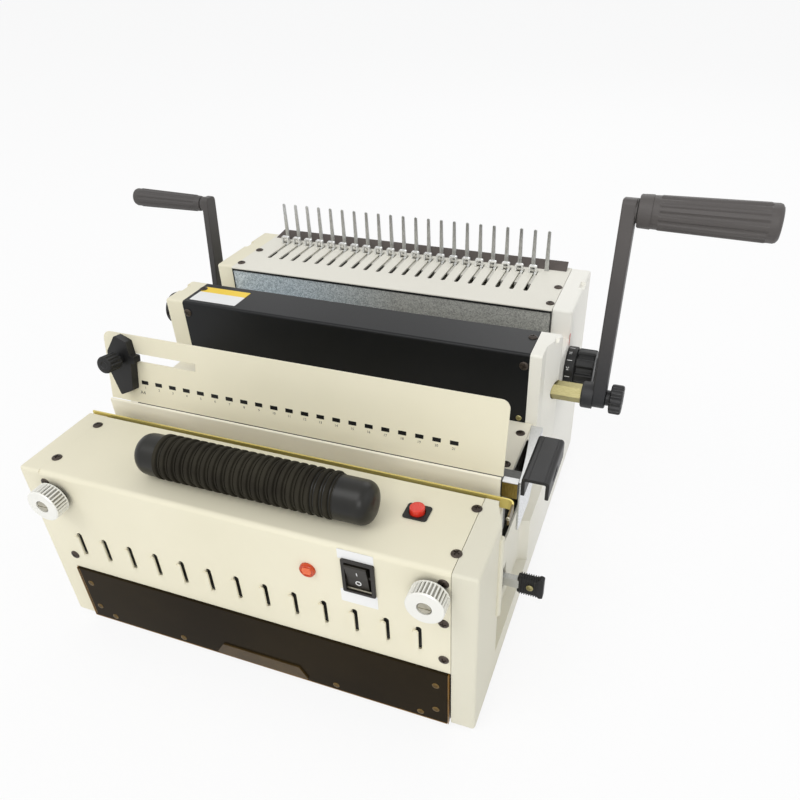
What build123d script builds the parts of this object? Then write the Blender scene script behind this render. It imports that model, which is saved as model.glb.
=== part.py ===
from build123d import *
import math
import os

# Electric punch and comb binding machine, in millimetres.
# X runs to the right, Y runs back, Z is up, and the table is at Z = 0.
# Places below are counted from the machine's middle in X, from the front
# face in Y and from the table in Z. The planes further down move them so
# that the origin is under the middle of the whole machine.

# Driving dimensions of the body
half_width = 192
foot_height = 4
sheet = 1.6
side_cover_width = 19.5
seam = 0.3
gap = 0.3
overrun = 5
front_height = 171.6
front_depth = 83
tower_height = 223.4
tower_front = 211
tower_back = 257
rear_front = 302.5
rear_back = 404
drawer_top = 66.5
hole_pitch = 14.2875
hole_count = 21
hole_shift = -4.225

# Driving dimensions of the shafts and cranks
punch_axis_y = 250
comb_axis_y = 333
dial_axis_y = 296
depth_axis_y = 233
closer_axis_y = 46
shaft_radius = 8
right_arm_thickness = 7.5
right_boss_width = 7
right_grip_length = 106
left_arm_thickness = 7
left_boss_width = 4
left_grip_length = 87
front_knob_reach = 20

# Offsets that place one driving size from another
deck_drop = 16.8
valley_drop = 28.4
punch_axis_drop = 53.4
comb_axis_drop = 65.4
dial_axis_drop = 54.4
depth_axis_drop = 20.4
closer_axis_drop = 36.6
right_arm_gap = 36.5
left_arm_gap = 23
frame_inset = 26
frame_thickness = 4

# Places worked out from them
deck_height = front_height - deck_drop
valley_height = tower_height - valley_drop
punch_axis_z = tower_height - punch_axis_drop
comb_axis_z = tower_height - comb_axis_drop
dial_axis_z = tower_height - dial_axis_drop
depth_axis_z = tower_height - depth_axis_drop
closer_axis_z = front_height - closer_axis_drop
right_arm_x = half_width + right_arm_gap
left_arm_x = half_width + left_arm_gap
shell_half = half_width - side_cover_width
panel_half = shell_half - seam
right_reach = right_arm_x + right_arm_thickness + right_boss_width + right_grip_length
left_reach = left_arm_x + left_arm_thickness + left_boss_width + left_grip_length
middle_x = (left_reach - right_reach) / 2
front_y = (front_knob_reach - rear_back) / 2
deck_under = deck_height - sheet
cheek_top = deck_under - gap
base_top = foot_height + sheet
frame_half = half_width - frame_inset
frame_inner = frame_half - frame_thickness / 2
frame_outer = frame_half + frame_thickness / 2

# Sides of the small round pieces, which are drawn flat-sided to stay light
round_sides = 20


def level(height):
    """Plane at a height above the table: local x to the right, local y back."""
    return Plane(origin=(middle_x, front_y, height), x_dir=(1, 0, 0), z_dir=(0, 0, 1))


def side(x):
    """Upright plane across the machine at x, facing right: local x back, local y up."""
    return Plane(origin=(middle_x + x, front_y, 0), x_dir=(0, 1, 0), z_dir=(1, 0, 0))


def front(y):
    """Upright plane along the machine at y, facing front: local x right, local y up."""
    return Plane(origin=(middle_x, front_y + y, 0), x_dir=(1, 0, 0), z_dir=(0, -1, 0))


def bar(x_span, y_span, z_span, mode=Mode.ADD):
    """Rectangular block between three pairs of faces."""
    with BuildSketch(level(z_span[0])) as foot:
        with Locations(((x_span[0] + x_span[1]) / 2, (y_span[0] + y_span[1]) / 2)):
            Rectangle(x_span[1] - x_span[0], y_span[1] - y_span[0])
    extrude(foot.sketch, amount=z_span[1] - z_span[0], mode=mode)


def rod(plane, centre, radius, length, mode=Mode.ADD):
    """Round bar or bore that stands on a plane."""
    with BuildSketch(plane) as end:
        with Locations(centre):
            Circle(radius)
    extrude(end.sketch, amount=length, mode=mode)


def peg(plane, centre, radius, length, mode=Mode.ADD):
    """Small round bar or bore, drawn with flat sides."""
    with BuildSketch(plane) as end:
        with Locations(centre):
            RegularPolygon(radius, round_sides)
    extrude(end.sketch, amount=length, mode=mode)


def plate(plane, corners, thickness, mode=Mode.ADD):
    """Flat plate on a plane, cut to straight edges."""
    with BuildSketch(plane) as outline:
        with BuildLine():
            Polyline(*corners, close=True)
        make_face()
    extrude(outline.sketch, amount=thickness, mode=mode)


def stack(rings):
    """Straight-sided body through rings across X: each has its x, centre and radius."""
    sections = []
    for x, centre, radius in rings:
        with BuildSketch(side(x)) as ring:
            with Locations(centre):
                RegularPolygon(radius, round_sides)
        sections.append(ring.sketch.face())
    loft(sections, ruled=True)


def ribbed_corners(centre, ribs, outer, inner, land_share):
    """Corners of a round outline with straight-sided flutes around it."""
    pitch = 2 * math.pi / ribs
    corners = []
    for rib in range(ribs):
        for radius, share in ((inner, -1 / 2), (outer, -land_share / 2), (outer, land_share / 2)):
            angle = (rib + share) * pitch
            corners.append((centre[0] + radius * math.cos(angle), centre[1] + radius * math.sin(angle)))
    return corners


# Shape of the gear teeth and rack teeth, as shares of the module and the pitch
addendum_share = 0.8
dedendum_share = 1.1
tip_half_share = 0.15
root_half_share = 0.3


def gear_corners(teeth, module, centre, phase):
    """Corners of a spur gear with straight flanks and a little backlash."""
    pitch_radius = teeth * module / 2
    tip_radius = pitch_radius + addendum_share * module
    root_radius = pitch_radius - dedendum_share * module
    tooth_angle = 2 * math.pi / teeth
    corners = []
    for tooth in range(teeth):
        middle = math.radians(phase) + tooth * tooth_angle
        for radius, share in (
            (root_radius, -root_half_share),
            (tip_radius, -tip_half_share),
            (tip_radius, tip_half_share),
            (root_radius, root_half_share),
        ):
            angle = middle + share * tooth_angle
            corners.append((centre[0] + radius * math.cos(angle), centre[1] + radius * math.sin(angle)))
    return corners


cam_steps = 8


def cam_points(rest_reach, rise, turn, toward):
    """Flank of a cam that moves a flat follower evenly as it turns forward."""
    rate = rise / math.radians(turn)
    points = []
    for step in range(cam_steps + 1):
        turned_angle = math.radians(turn) * step / cam_steps
        angle = math.radians(toward) - turned_angle
        reach = rest_reach + rate * turned_angle
        points.append(
            (
                reach * math.cos(angle) + rate * math.sin(angle),
                reach * math.sin(angle) - rate * math.cos(angle),
            )
        )
    return points


def cam(x, width, centre, hub_radius, points):
    """Cam plate across a shaft: the flank, closed through the shaft's axis, and its hub."""
    peg(side(x), centre, hub_radius, width)
    flank = [(centre[0] + a, centre[1] + b) for a, b in points]
    plate(side(x), flank + [centre], width)


def comb_x(index):
    """Middle of a punched hole, counted from the left."""
    return hole_shift + (index - (hole_count - 1) / 2) * hole_pitch


os.makedirs("parts", exist_ok=True)

# Base plate
base_lip = 3
base_half = frame_outer + base_lip
base_front = 4
base_back = rear_back - sheet - gap
with BuildPart() as base_plate:
    bar((-base_half, base_half), (base_front, base_back), (foot_height, base_top))
base_plate.part.label = "base_plate"
export_step(base_plate.part, "parts/base_plate.step")

# Rubber feet, each with a hole for its screw
foot_inset = 18
foot_x = frame_half - foot_inset
foot_front_y = 34
foot_back_y = 372
foot_radius = 12
foot_hole_radius = 3.5
foot_hole_depth = 2
with BuildPart() as rubber_feet:
    for x in (-foot_x, foot_x):
        for y in (foot_front_y, foot_back_y):
            peg(level(0), (x, y), foot_radius, foot_height)
            peg(level(0), (x, y), foot_hole_radius, foot_hole_depth, Mode.SUBTRACT)
rubber_feet.part.label = "rubber_feet"
export_step(rubber_feet.part, "parts/rubber_feet.step")

# Side covers: folded boxes, open towards the machine
notch_depth = 6
notch_length = 16
tower_notch_y = 240
rear_notch_y = 365
notch_radius = 5


def cheek_corners(inset):
    """Side view of a side cover, drawn in by an inset on every edge."""
    low = foot_height + inset
    return [
        (inset, low),
        (inset, front_height - inset),
        (front_depth - inset, front_height - inset),
        (front_depth - inset, cheek_top - inset),
        (tower_front + inset, cheek_top - inset),
        (tower_front + inset, tower_height - inset),
        (tower_back - inset, tower_height - inset),
        (tower_back - inset, valley_height - inset),
        (rear_front + inset, valley_height - inset),
        (rear_front + inset, tower_height - inset),
        (rear_back - inset, tower_height - inset),
        (rear_back - inset, low),
    ]


# Recess in the right side cover, where the die is drawn out
recess_depth = 9
recess_floor = half_width - recess_depth
recess_front_bend = 58
recess_front = 81
recess_back = 231
recess_back_bend = 253
recess_step = 166
recess_low = 31
recess_high = 79
bend_radius = 14
window_front = 93
window_back = 190
window_step = 122.5
window_drop = 50.8
window_low = deck_height - window_drop
deck_inset = 13
deck_right = half_width - deck_inset


def recess_plan(depth_change, floor_back, rim_back):
    """Plan of the recess, whose front and back rise in soft bends, grown by a wall thickness."""
    floor = recess_floor - depth_change
    rim = half_width + overrun
    return [
        (rim, recess_front_bend - depth_change),
        (half_width, recess_front_bend - depth_change),
        (floor, recess_front - depth_change),
        (floor, floor_back + depth_change),
        (half_width, rim_back + depth_change),
        (rim, rim_back + depth_change),
    ]


def recess_cut(depth_change):
    """The recess as two cuts: a tall one and a lower one that reaches less far back."""
    for corners, low, high in (
        (
            recess_plan(depth_change, recess_back, recess_back_bend),
            recess_high - depth_change,
            tower_height + overrun,
        ),
        (
            recess_plan(depth_change, recess_step, recess_step),
            recess_low - depth_change,
            recess_high - depth_change,
        ),
    ):
        with BuildSketch(level(low)) as plan:
            with BuildLine():
                Polyline(*corners, close=True)
            make_face()
            fillet(plan.vertices().group_by(Axis.X)[0].group_by(Axis.Y)[0], radius=bend_radius)
        extrude(plan.sketch, amount=high - low)


with BuildPart() as right_recess:
    recess_cut(0)

with BuildPart() as right_recess_wall:
    recess_cut(sheet)

with BuildPart() as right_hollow:
    plate(side(shell_half - overrun), cheek_corners(sheet), side_cover_width + overrun - sheet)
    add(right_recess_wall.part, mode=Mode.SUBTRACT)

hex_hole_radius = 10
dial_shaft_radius = 4
lever_slot_front = 109
lever_slot_back = 121
lever_slot_low = 47
lever_slot_high = 72
with BuildPart() as right_side_cover:
    plate(side(shell_half), cheek_corners(0), side_cover_width)
    add(right_recess.part, mode=Mode.SUBTRACT)
    add(right_hollow.part, mode=Mode.SUBTRACT)
    for y in (tower_notch_y, rear_notch_y):
        bar(
            (half_width - notch_radius, half_width + overrun),
            (y - notch_length / 2, y + notch_length / 2),
            (tower_height - notch_depth, tower_height + overrun),
            Mode.SUBTRACT,
        )
    for left, back in ((shell_half, window_step), (deck_right + gap, window_back)):
        bar(
            (left, half_width + overrun),
            (window_front, back),
            (window_low, deck_height + overrun),
            Mode.SUBTRACT,
        )
    bar(
        (shell_half, half_width + overrun),
        (lever_slot_front, lever_slot_back),
        (lever_slot_low, lever_slot_high),
        Mode.SUBTRACT,
    )
    peg(side(shell_half), (punch_axis_y, punch_axis_z), hex_hole_radius, side_cover_width, Mode.SUBTRACT)
    peg(
        side(shell_half),
        (dial_axis_y, dial_axis_z),
        dial_shaft_radius + gap,
        side_cover_width,
        Mode.SUBTRACT,
    )
right_side_cover.part.label = "right_side_cover"
export_step(right_side_cover.part, "parts/right_side_cover.step")

with BuildPart() as left_side_cover:
    plate(side(-half_width), cheek_corners(0), side_cover_width)
    plate(side(-half_width + sheet), cheek_corners(sheet), side_cover_width, Mode.SUBTRACT)
    for y in (tower_notch_y, rear_notch_y):
        bar(
            (-half_width - overrun, -half_width + notch_radius),
            (y - notch_length / 2, y + notch_length / 2),
            (tower_height - notch_depth, tower_height + overrun),
            Mode.SUBTRACT,
        )
    for y, z, radius in (
        (comb_axis_y, comb_axis_z, shaft_radius),
        (depth_axis_y, depth_axis_z, dial_shaft_radius),
    ):
        peg(side(-half_width), (y, z), radius + gap, side_cover_width, Mode.SUBTRACT)
left_side_cover.part.label = "left_side_cover"
export_step(left_side_cover.part, "parts/left_side_cover.step")

# Front cover: front panel and top panel folded from one sheet, with louvres
fold_radius = 3.2
top_panel_seam = 2
top_panel_depth = front_depth - top_panel_seam
panel_rise = front_height - drawer_top
louvre_count = 13
louvre_first = -153.4
louvre_pitch = 25.2
louvre_low_share = 0.181
louvre_length_share = 0.233
louvre_low = drawer_top + louvre_low_share * panel_rise
louvre_length = louvre_length_share * panel_rise
louvre_slot = 2.2
hood_width = 4.4
hood_depth = 2
hood_taper = 25
hood_corner = 1.4
knob_inset = 32.7
knob_drop = 19.6
knob_x = half_width - knob_inset
knob_z = front_height - knob_drop
stud_radius = 4
lamp_x = 63.5
lamp_drop = 31.2
lamp_z = front_height - lamp_drop
lamp_radius = 6.3
lamp_body_radius = 5
switch_x = 104.2
switch_drop = 26.2
switch_z = front_height - switch_drop
switch_width = 25.6
switch_height = 32
switch_lip = 2
switch_body_width = 21.6
switch_body_height = 28.4
button_x = 130.4
button_inset = 33.3
button_y = front_depth - button_inset
button_barrel = 15
louvre_middle = louvre_low + louvre_length / 2

with BuildPart() as front_cover:
    with BuildSketch(side(-panel_half)) as fold:
        with BuildLine():
            Polyline(
                (0, drawer_top),
                (0, front_height),
                (top_panel_depth, front_height),
                (top_panel_depth, front_height - sheet),
                (sheet, front_height - sheet),
                (sheet, drawer_top),
                close=True,
            )
        make_face()
        outer_corner = fold.vertices().group_by(Axis.X)[0].sort_by(Axis.Y)[-1]
        fillet(outer_corner, radius=fold_radius)
    extrude(fold.sketch, amount=2 * panel_half)
    with BuildSketch(front(0)) as hoods:
        for index in range(louvre_count):
            x = louvre_first + index * louvre_pitch
            with Locations((x - hood_width / 2, louvre_middle)):
                Rectangle(hood_width, louvre_length)
        chamfer(hoods.vertices(), length=hood_corner)
    extrude(hoods.sketch, amount=hood_depth, taper=hood_taper)
    with BuildSketch(front(-hood_depth)) as louvres:
        for index in range(louvre_count):
            x = louvre_first + index * louvre_pitch
            with Locations((x, louvre_middle)):
                Rectangle(louvre_slot, louvre_length - louvre_slot)
    extrude(louvres.sketch, amount=-(hood_depth + sheet), mode=Mode.SUBTRACT)
    with BuildSketch(front(0)) as panel_holes:
        with Locations((-knob_x, knob_z), (knob_x, knob_z)):
            Circle(stud_radius + gap)
        with Locations((lamp_x, lamp_z)):
            RegularPolygon(lamp_body_radius + gap, round_sides)
        with Locations((switch_x, switch_z)):
            Rectangle(switch_body_width, switch_body_height)
    extrude(panel_holes.sketch, amount=-sheet, mode=Mode.SUBTRACT)
    bar(
        (button_x - button_barrel / 2, button_x + button_barrel / 2),
        (button_y - button_barrel / 2, button_y + button_barrel / 2),
        (front_height - sheet, front_height),
        Mode.SUBTRACT,
    )
front_cover.part.label = "front_cover"
export_step(front_cover.part, "parts/front_cover.step")

# Deck behind the guide plate
deck_front = 123
deck_lap = 2
deck_left = deck_lap - half_width
with BuildPart() as mid_deck:
    bar((deck_left, deck_right), (deck_front, tower_front - gap), (deck_under, deck_height))
mid_deck.part.label = "mid_deck"
export_step(mid_deck.part, "parts/mid_deck.step")

# Black cover over the punch shaft: an inverted channel
punch_cover_low = deck_height
punch_cover_fold = 2.4
with BuildPart() as punch_cover:
    with BuildSketch(side(-panel_half)) as channel:
        with BuildLine():
            Polyline(
                (tower_front, punch_cover_low),
                (tower_front, tower_height),
                (tower_back, tower_height),
                (tower_back, valley_height + sheet),
                (tower_back - sheet, valley_height + sheet),
                (tower_back - sheet, tower_height - sheet),
                (tower_front + sheet, tower_height - sheet),
                (tower_front + sheet, punch_cover_low),
                close=True,
            )
        make_face()
        top_corners = channel.vertices().group_by(Axis.Y)[-1]
        fillet(top_corners, radius=punch_cover_fold)
    extrude(channel.sketch, amount=2 * panel_half)
punch_cover.part.label = "punch_cover"
export_step(punch_cover.part, "parts/punch_cover.step")

# Galvanised plate: the rear body's front wall and the floor of the valley
deck_seam = 0.2
with BuildPart() as galvanised_plate:
    plate(
        side(-panel_half),
        [
            (tower_back + gap, valley_height - sheet),
            (tower_back + gap, valley_height),
            (rear_front - sheet, valley_height),
            (rear_front - sheet, tower_height - sheet - deck_seam),
            (rear_front, tower_height - sheet - deck_seam),
            (rear_front, valley_height - sheet),
        ],
        2 * panel_half,
    )
galvanised_plate.part.label = "galvanised_plate"
export_step(galvanised_plate.part, "parts/galvanised_plate.step")

# Comb deck with a slot for each hook
slot_front = 334.5
slot_back = 383
slot_width = 3.5
comb_deck_lip = 1.5
comb_deck_front = rear_front - comb_deck_lip
slot_corner = 0.9
with BuildPart() as comb_deck:
    bar((-panel_half, panel_half), (comb_deck_front, rear_back), (tower_height - sheet, tower_height))
    with BuildSketch(level(tower_height)) as hook_slots:
        for index in range(hole_count):
            with Locations((comb_x(index), (slot_front + slot_back) / 2)):
                Rectangle(slot_width, slot_back - slot_front)
        chamfer(hook_slots.vertices(), length=slot_corner)
    extrude(hook_slots.sketch, amount=-sheet, mode=Mode.SUBTRACT)
comb_deck.part.label = "comb_deck"
export_step(comb_deck.part, "parts/comb_deck.step")

# Rear cover with air slots and the mains inlet's window
inlet_x = 120
inlet_z = 42
inlet_width = 27
inlet_height = 20
vent_count = 9
vent_pitch = 12
vent_x = -110
vent_low = 70
vent_length = 40
vent_width = 4
with BuildPart() as rear_cover:
    bar(
        (-panel_half, panel_half),
        (rear_back - sheet, rear_back),
        (base_top, tower_height - sheet - deck_seam),
    )
    with BuildSketch(front(rear_back)) as rear_holes:
        with Locations((inlet_x, inlet_z)):
            Rectangle(inlet_width, inlet_height)
        for index in range(vent_count):
            with Locations((vent_x + index * vent_pitch, vent_low + vent_length / 2)):
                Rectangle(vent_width, vent_length)
    extrude(rear_holes.sketch, amount=sheet, mode=Mode.SUBTRACT)
rear_cover.part.label = "rear_cover"
export_step(rear_cover.part, "parts/rear_cover.step")

# Mains inlet: a flanged socket with three blades
inlet_flange = 3
inlet_flange_depth = 2
inlet_wall = 1.5
inlet_depth = 18
blade_width = 4
blade_thickness = 2
blade_length = 14
blade_spread = 7
blade_rise = 3
with BuildPart() as power_inlet:
    bar(
        (inlet_x - inlet_width / 2 + gap, inlet_x + inlet_width / 2 - gap),
        (rear_back - inlet_depth - inlet_wall, rear_back),
        (inlet_z - inlet_height / 2 + gap, inlet_z + inlet_height / 2 - gap),
    )
    bar(
        (inlet_x - inlet_width / 2 - inlet_flange, inlet_x + inlet_width / 2 + inlet_flange),
        (rear_back - sheet - inlet_flange_depth, rear_back - sheet),
        (inlet_z - inlet_height / 2 - inlet_flange, inlet_z + inlet_height / 2 + inlet_flange),
    )
    bar(
        (inlet_x - inlet_width / 2 + inlet_wall, inlet_x + inlet_width / 2 - inlet_wall),
        (rear_back - inlet_depth, rear_back),
        (inlet_z - inlet_height / 2 + inlet_wall, inlet_z + inlet_height / 2 - inlet_wall),
        Mode.SUBTRACT,
    )
    for x, z in ((-blade_spread, 0), (blade_spread, 0), (0, blade_rise)):
        bar(
            (inlet_x + x - blade_thickness / 2, inlet_x + x + blade_thickness / 2),
            (rear_back - inlet_depth, rear_back - inlet_depth + blade_length),
            (inlet_z + z, inlet_z + z + blade_width),
        )
power_inlet.part.label = "power_inlet"
export_step(power_inlet.part, "parts/power_inlet.step")

# Fixed comb fingers, standing in a row behind the slots
finger_y = 388.5
finger_height = 42
finger_base_width = 4.5
finger_tip_width = 3
finger_thickness = 1.6
finger_tip_chamfer = 1.2
finger_lead = 4.5
finger_first = comb_x(0) - finger_lead
finger_top = tower_height + finger_height
with BuildPart() as comb_fingers:
    for index in range(hole_count + 1):
        x = finger_first + index * hole_pitch
        plate(
            front(finger_y - finger_thickness / 2),
            [
                (x - finger_base_width / 2, tower_height),
                (x - finger_tip_width / 2, finger_top - finger_tip_chamfer),
                (x - finger_tip_width / 2 + finger_tip_chamfer, finger_top),
                (x + finger_tip_width / 2 - finger_tip_chamfer, finger_top),
                (x + finger_tip_width / 2, finger_top - finger_tip_chamfer),
                (x + finger_base_width / 2, tower_height),
            ],
            -finger_thickness,
        )
comb_fingers.part.label = "comb_fingers"
export_step(comb_fingers.part, "parts/comb_fingers.step")

# Dark strip behind the fingers, leaning back
strip_front = 392
strip_lean = 10
strip_rise = 7.3
strip_thickness = 1.6
strip_left_inset = 22.4
strip_right_inset = 23.8
strip_left = strip_left_inset - half_width
strip_right = half_width - strip_right_inset
with BuildPart() as comb_back_strip:
    plate(
        side(strip_left),
        [
            (strip_front, tower_height),
            (strip_front + strip_lean, tower_height + strip_rise),
            (strip_front + strip_lean, tower_height + strip_rise - strip_thickness),
            (strip_front + strip_thickness * strip_lean / strip_rise, tower_height),
        ],
        strip_right - strip_left,
    )
comb_back_strip.part.label = "comb_back_strip"
export_step(comb_back_strip.part, "parts/comb_back_strip.step")

# Cream bar in front of the die; its foot is the floor of the closing trough
bar_face = 104
bar_thickness = 1.8
bar_rise = 19.2
bar_left_inset = 6
bar_right_inset = 14
bar_top = deck_height + bar_rise
bar_left = bar_left_inset - half_width
bar_right = half_width - bar_right_inset
trough_drop = 4.8
trough_floor = deck_height - trough_drop
trough_front = 90
bar_step = cheek_top + gap
with BuildPart() as die_bar:
    plate(
        front(bar_face),
        [
            (bar_left, bar_step),
            (bar_left, bar_top),
            (bar_right, bar_top),
            (bar_right, bar_step),
            (frame_inner - gap, bar_step),
            (frame_inner - gap, trough_floor - sheet),
            (gap - frame_inner, trough_floor - sheet),
            (gap - frame_inner, bar_step),
        ],
        -bar_thickness,
    )
    bar(
        (gap - frame_inner, frame_inner - gap),
        (trough_front, bar_face),
        (trough_floor - sheet, trough_floor),
    )
die_bar.part.label = "die_bar"
export_step(die_bar.part, "parts/die_bar.step")

# Guide plate for the paper, leaning back, with a window over each hole
guide_foot_y = 106.6
guide_foot_z = bar_top
guide_top_y = 118.2
guide_height = 61.6
guide_top_z = guide_foot_z + guide_height
guide_left_inset = 6.5
guide_right_inset = 12.8
guide_left = guide_left_inset - half_width
guide_right = half_width - guide_right_inset
guide_corner = 7
guide_lean = math.atan2(guide_top_y - guide_foot_y, guide_top_z - guide_foot_z)
guide_length = math.hypot(guide_top_y - guide_foot_y, guide_top_z - guide_foot_z)
window_width = 7
window_height = 2
window_rise = 20
window_z = guide_foot_z + window_rise
guide_slot_rise = 38.7
guide_slot_height = 7.2
guide_slot_low = guide_foot_z + guide_slot_rise
guide_slot_high = guide_slot_low + guide_slot_height
guide_slot_inset = 9.5
guide_slot_length = 83.2
guide_slot_left = guide_left + guide_slot_inset
guide_slot_right = guide_slot_left + guide_slot_length


def guide_rise(z):
    """Distance up the leaning plate for a height above the table."""
    return (z - guide_foot_z) / math.cos(guide_lean)


def guide_back(z):
    """Y of the plate's back face at a height."""
    return guide_foot_y + (z - guide_foot_z) * math.tan(guide_lean) + sheet / math.cos(guide_lean)


guide_face = Plane(
    origin=(middle_x, front_y + guide_foot_y, guide_foot_z),
    x_dir=(1, 0, 0),
    z_dir=(0, -math.cos(guide_lean), math.sin(guide_lean)),
)
with BuildPart() as guide_plate:
    with BuildSketch(guide_face) as guide_outline:
        with Locations(((guide_left + guide_right) / 2, guide_length / 2)):
            Rectangle(guide_right - guide_left, guide_length)
        fillet(guide_outline.vertices().group_by(Axis.Y)[-1], radius=guide_corner)
        for index in range(hole_count):
            with Locations((comb_x(index), guide_rise(window_z))):
                Rectangle(window_width, window_height, mode=Mode.SUBTRACT)
        slot_rise = guide_rise((guide_slot_low + guide_slot_high) / 2)
        with Locations(((guide_slot_left + guide_slot_right) / 2, slot_rise)):
            Rectangle(
                guide_slot_right - guide_slot_left,
                guide_rise(guide_slot_high) - guide_rise(guide_slot_low),
                mode=Mode.SUBTRACT,
            )
    extrude(guide_outline.sketch, amount=-sheet)
guide_plate.part.label = "guide_plate"
export_step(guide_plate.part, "parts/guide_plate.step")

# Two gussets hold the guide plate on the deck
gusset_x = 60
gusset_thickness = 3
gusset_low = guide_foot_z + gusset_thickness
gusset_high_rise = 34
gusset_high = guide_foot_z + gusset_high_rise
gusset_reach = 152
with BuildPart() as guide_brackets:
    for x in (-gusset_x, gusset_x):
        plate(
            side(x - gusset_thickness / 2),
            [
                (guide_back(gusset_low), gusset_low),
                (guide_back(gusset_high), gusset_high),
                (gusset_reach, deck_height),
                (deck_front, deck_height),
                (deck_front, gusset_low),
            ],
            gusset_thickness,
        )
guide_brackets.part.label = "guide_brackets"
export_step(guide_brackets.part, "parts/guide_brackets.step")

# Edge guide: a black block that slides along the plate's slot
edge_guide_depth = 8
edge_pin_inset = 22.5
edge_pin_x = guide_left + edge_pin_inset
edge_pin_radius = 3
edge_washer_radius = 7
edge_washer_depth = 2
edge_pin_rise = guide_rise((guide_slot_low + guide_slot_high) / 2)
# Half widths of the block to the left and right of its pin
edge_top_left = 3.7
edge_top_right = 7.6
edge_shoulder = 12.5
edge_waist = 10
edge_low_right = 9
edge_tip_left = 4
edge_left = 13
# Heights of its corners above and below the pin
edge_top = 19.7
edge_top_drop = 15.7
edge_shoulder_rise = 3.7
edge_waist_drop = 3.3
edge_low_drop = 28.3
edge_tip_drop = 34.3
edge_left_drop = 13.3
edge_left_rise = 4.7
with BuildPart() as edge_guide:
    plate(
        guide_face.offset(gap),
        [
            (edge_pin_x - edge_top_left, edge_pin_rise + edge_top),
            (edge_pin_x + edge_top_right, edge_pin_rise + edge_top_drop),
            (edge_pin_x + edge_shoulder, edge_pin_rise + edge_shoulder_rise),
            (edge_pin_x + edge_waist, edge_pin_rise - edge_waist_drop),
            (edge_pin_x + edge_low_right, edge_pin_rise - edge_low_drop),
            (edge_pin_x - edge_tip_left, edge_pin_rise - edge_tip_drop),
            (edge_pin_x - edge_left, edge_pin_rise - edge_left_drop),
            (edge_pin_x - edge_left, edge_pin_rise + edge_left_rise),
        ],
        edge_guide_depth,
    )
    peg(guide_face.offset(gap), (edge_pin_x, edge_pin_rise), edge_pin_radius, -(sheet + 2 * gap))
    peg(
        guide_face.offset(-sheet - gap),
        (edge_pin_x, edge_pin_rise),
        edge_washer_radius,
        -edge_washer_depth,
    )
edge_guide.part.label = "edge_guide"
export_step(edge_guide.part, "parts/edge_guide.step")

# Knurled clamp knob on the edge guide
edge_knob_radius = 7.6
edge_knob_neck = 4.5
edge_knob_neck_length = 5
edge_knob_length = 15
edge_knob_flutes = 14
edge_knob_flute_depth = 0.9
knurl_land_share = 0.5
edge_knob_face = guide_face.offset(gap + edge_guide_depth)
with BuildPart() as edge_guide_knob:
    rod(edge_knob_face, (edge_pin_x, edge_pin_rise), edge_knob_neck, edge_knob_neck_length)
    plate(
        edge_knob_face.offset(edge_knob_neck_length),
        ribbed_corners(
            (edge_pin_x, edge_pin_rise),
            edge_knob_flutes,
            edge_knob_radius,
            edge_knob_radius - edge_knob_flute_depth,
            knurl_land_share,
        ),
        edge_knob_length,
    )
edge_guide_knob.part.label = "edge_guide_knob"
export_step(edge_guide_knob.part, "parts/edge_guide_knob.step")

# Hand grip on the top panel: a moulded core with domed ends and a ribbed sleeve
grip_y = 30
sleeve_left = -72
sleeve_right = 80.5
sleeve_radius = 17.7
sleeve_groove = 1.6
sleeve_ribs = 21
core_radius = 9
dome_left = 94
dome_right = 107.8
dome_radius = 16
grip_z = front_height + sleeve_radius + gap
dome_angles = (0, 30, 55, 76)
with BuildPart() as handle_core:
    for start, end in ((sleeve_left, -dome_left), (sleeve_right, dome_right)):
        crown_centre = end - math.copysign(dome_radius, end)
        rings = [(start, (grip_y, grip_z), dome_radius)]
        for angle in dome_angles:
            reach = math.copysign(dome_radius * math.sin(math.radians(angle)), end)
            rings.append(
                (crown_centre + reach, (grip_y, grip_z), dome_radius * math.cos(math.radians(angle)))
            )
        stack(rings)
        bar(
            sorted((start, end - math.copysign(dome_radius / 2, end))),
            (grip_y - dome_radius, grip_y + dome_radius),
            (front_height, grip_z),
        )
    peg(side(sleeve_left), (grip_y, grip_z), core_radius, sleeve_right - sleeve_left)
handle_core.part.label = "handle_core"
export_step(handle_core.part, "parts/handle_core.step")

with BuildPart() as handle_sleeve:
    half_pitch = (sleeve_right - sleeve_left) / sleeve_ribs / 2
    sleeve_rings = []
    for step in range(2 * sleeve_ribs + 1):
        rib_radius = sleeve_radius if step % 2 else sleeve_radius - sleeve_groove
        sleeve_rings.append((sleeve_left + step * half_pitch, (grip_y, grip_z), rib_radius))
    stack(sleeve_rings)
    peg(side(sleeve_left), (grip_y, grip_z), core_radius, sleeve_right - sleeve_left, Mode.SUBTRACT)
handle_sleeve.part.label = "handle_sleeve"
export_step(handle_sleeve.part, "parts/handle_sleeve.step")

# Pilot lamp: a domed lens on its barrel
lamp_proud = 3
lamp_rim = 1.2
lamp_depth = 16
lamp_top_share = 0.6
with BuildPart() as pilot_lamp:
    peg(front(lamp_depth), (lamp_x, lamp_z), lamp_body_radius, lamp_depth)
    peg(front(0), (lamp_x, lamp_z), lamp_radius, lamp_rim)
    peg(front(-lamp_rim), (lamp_x, lamp_z), lamp_radius * lamp_top_share, lamp_proud - lamp_rim)
pilot_lamp.part.label = "pilot_lamp"
export_step(pilot_lamp.part, "parts/pilot_lamp.step")

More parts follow.
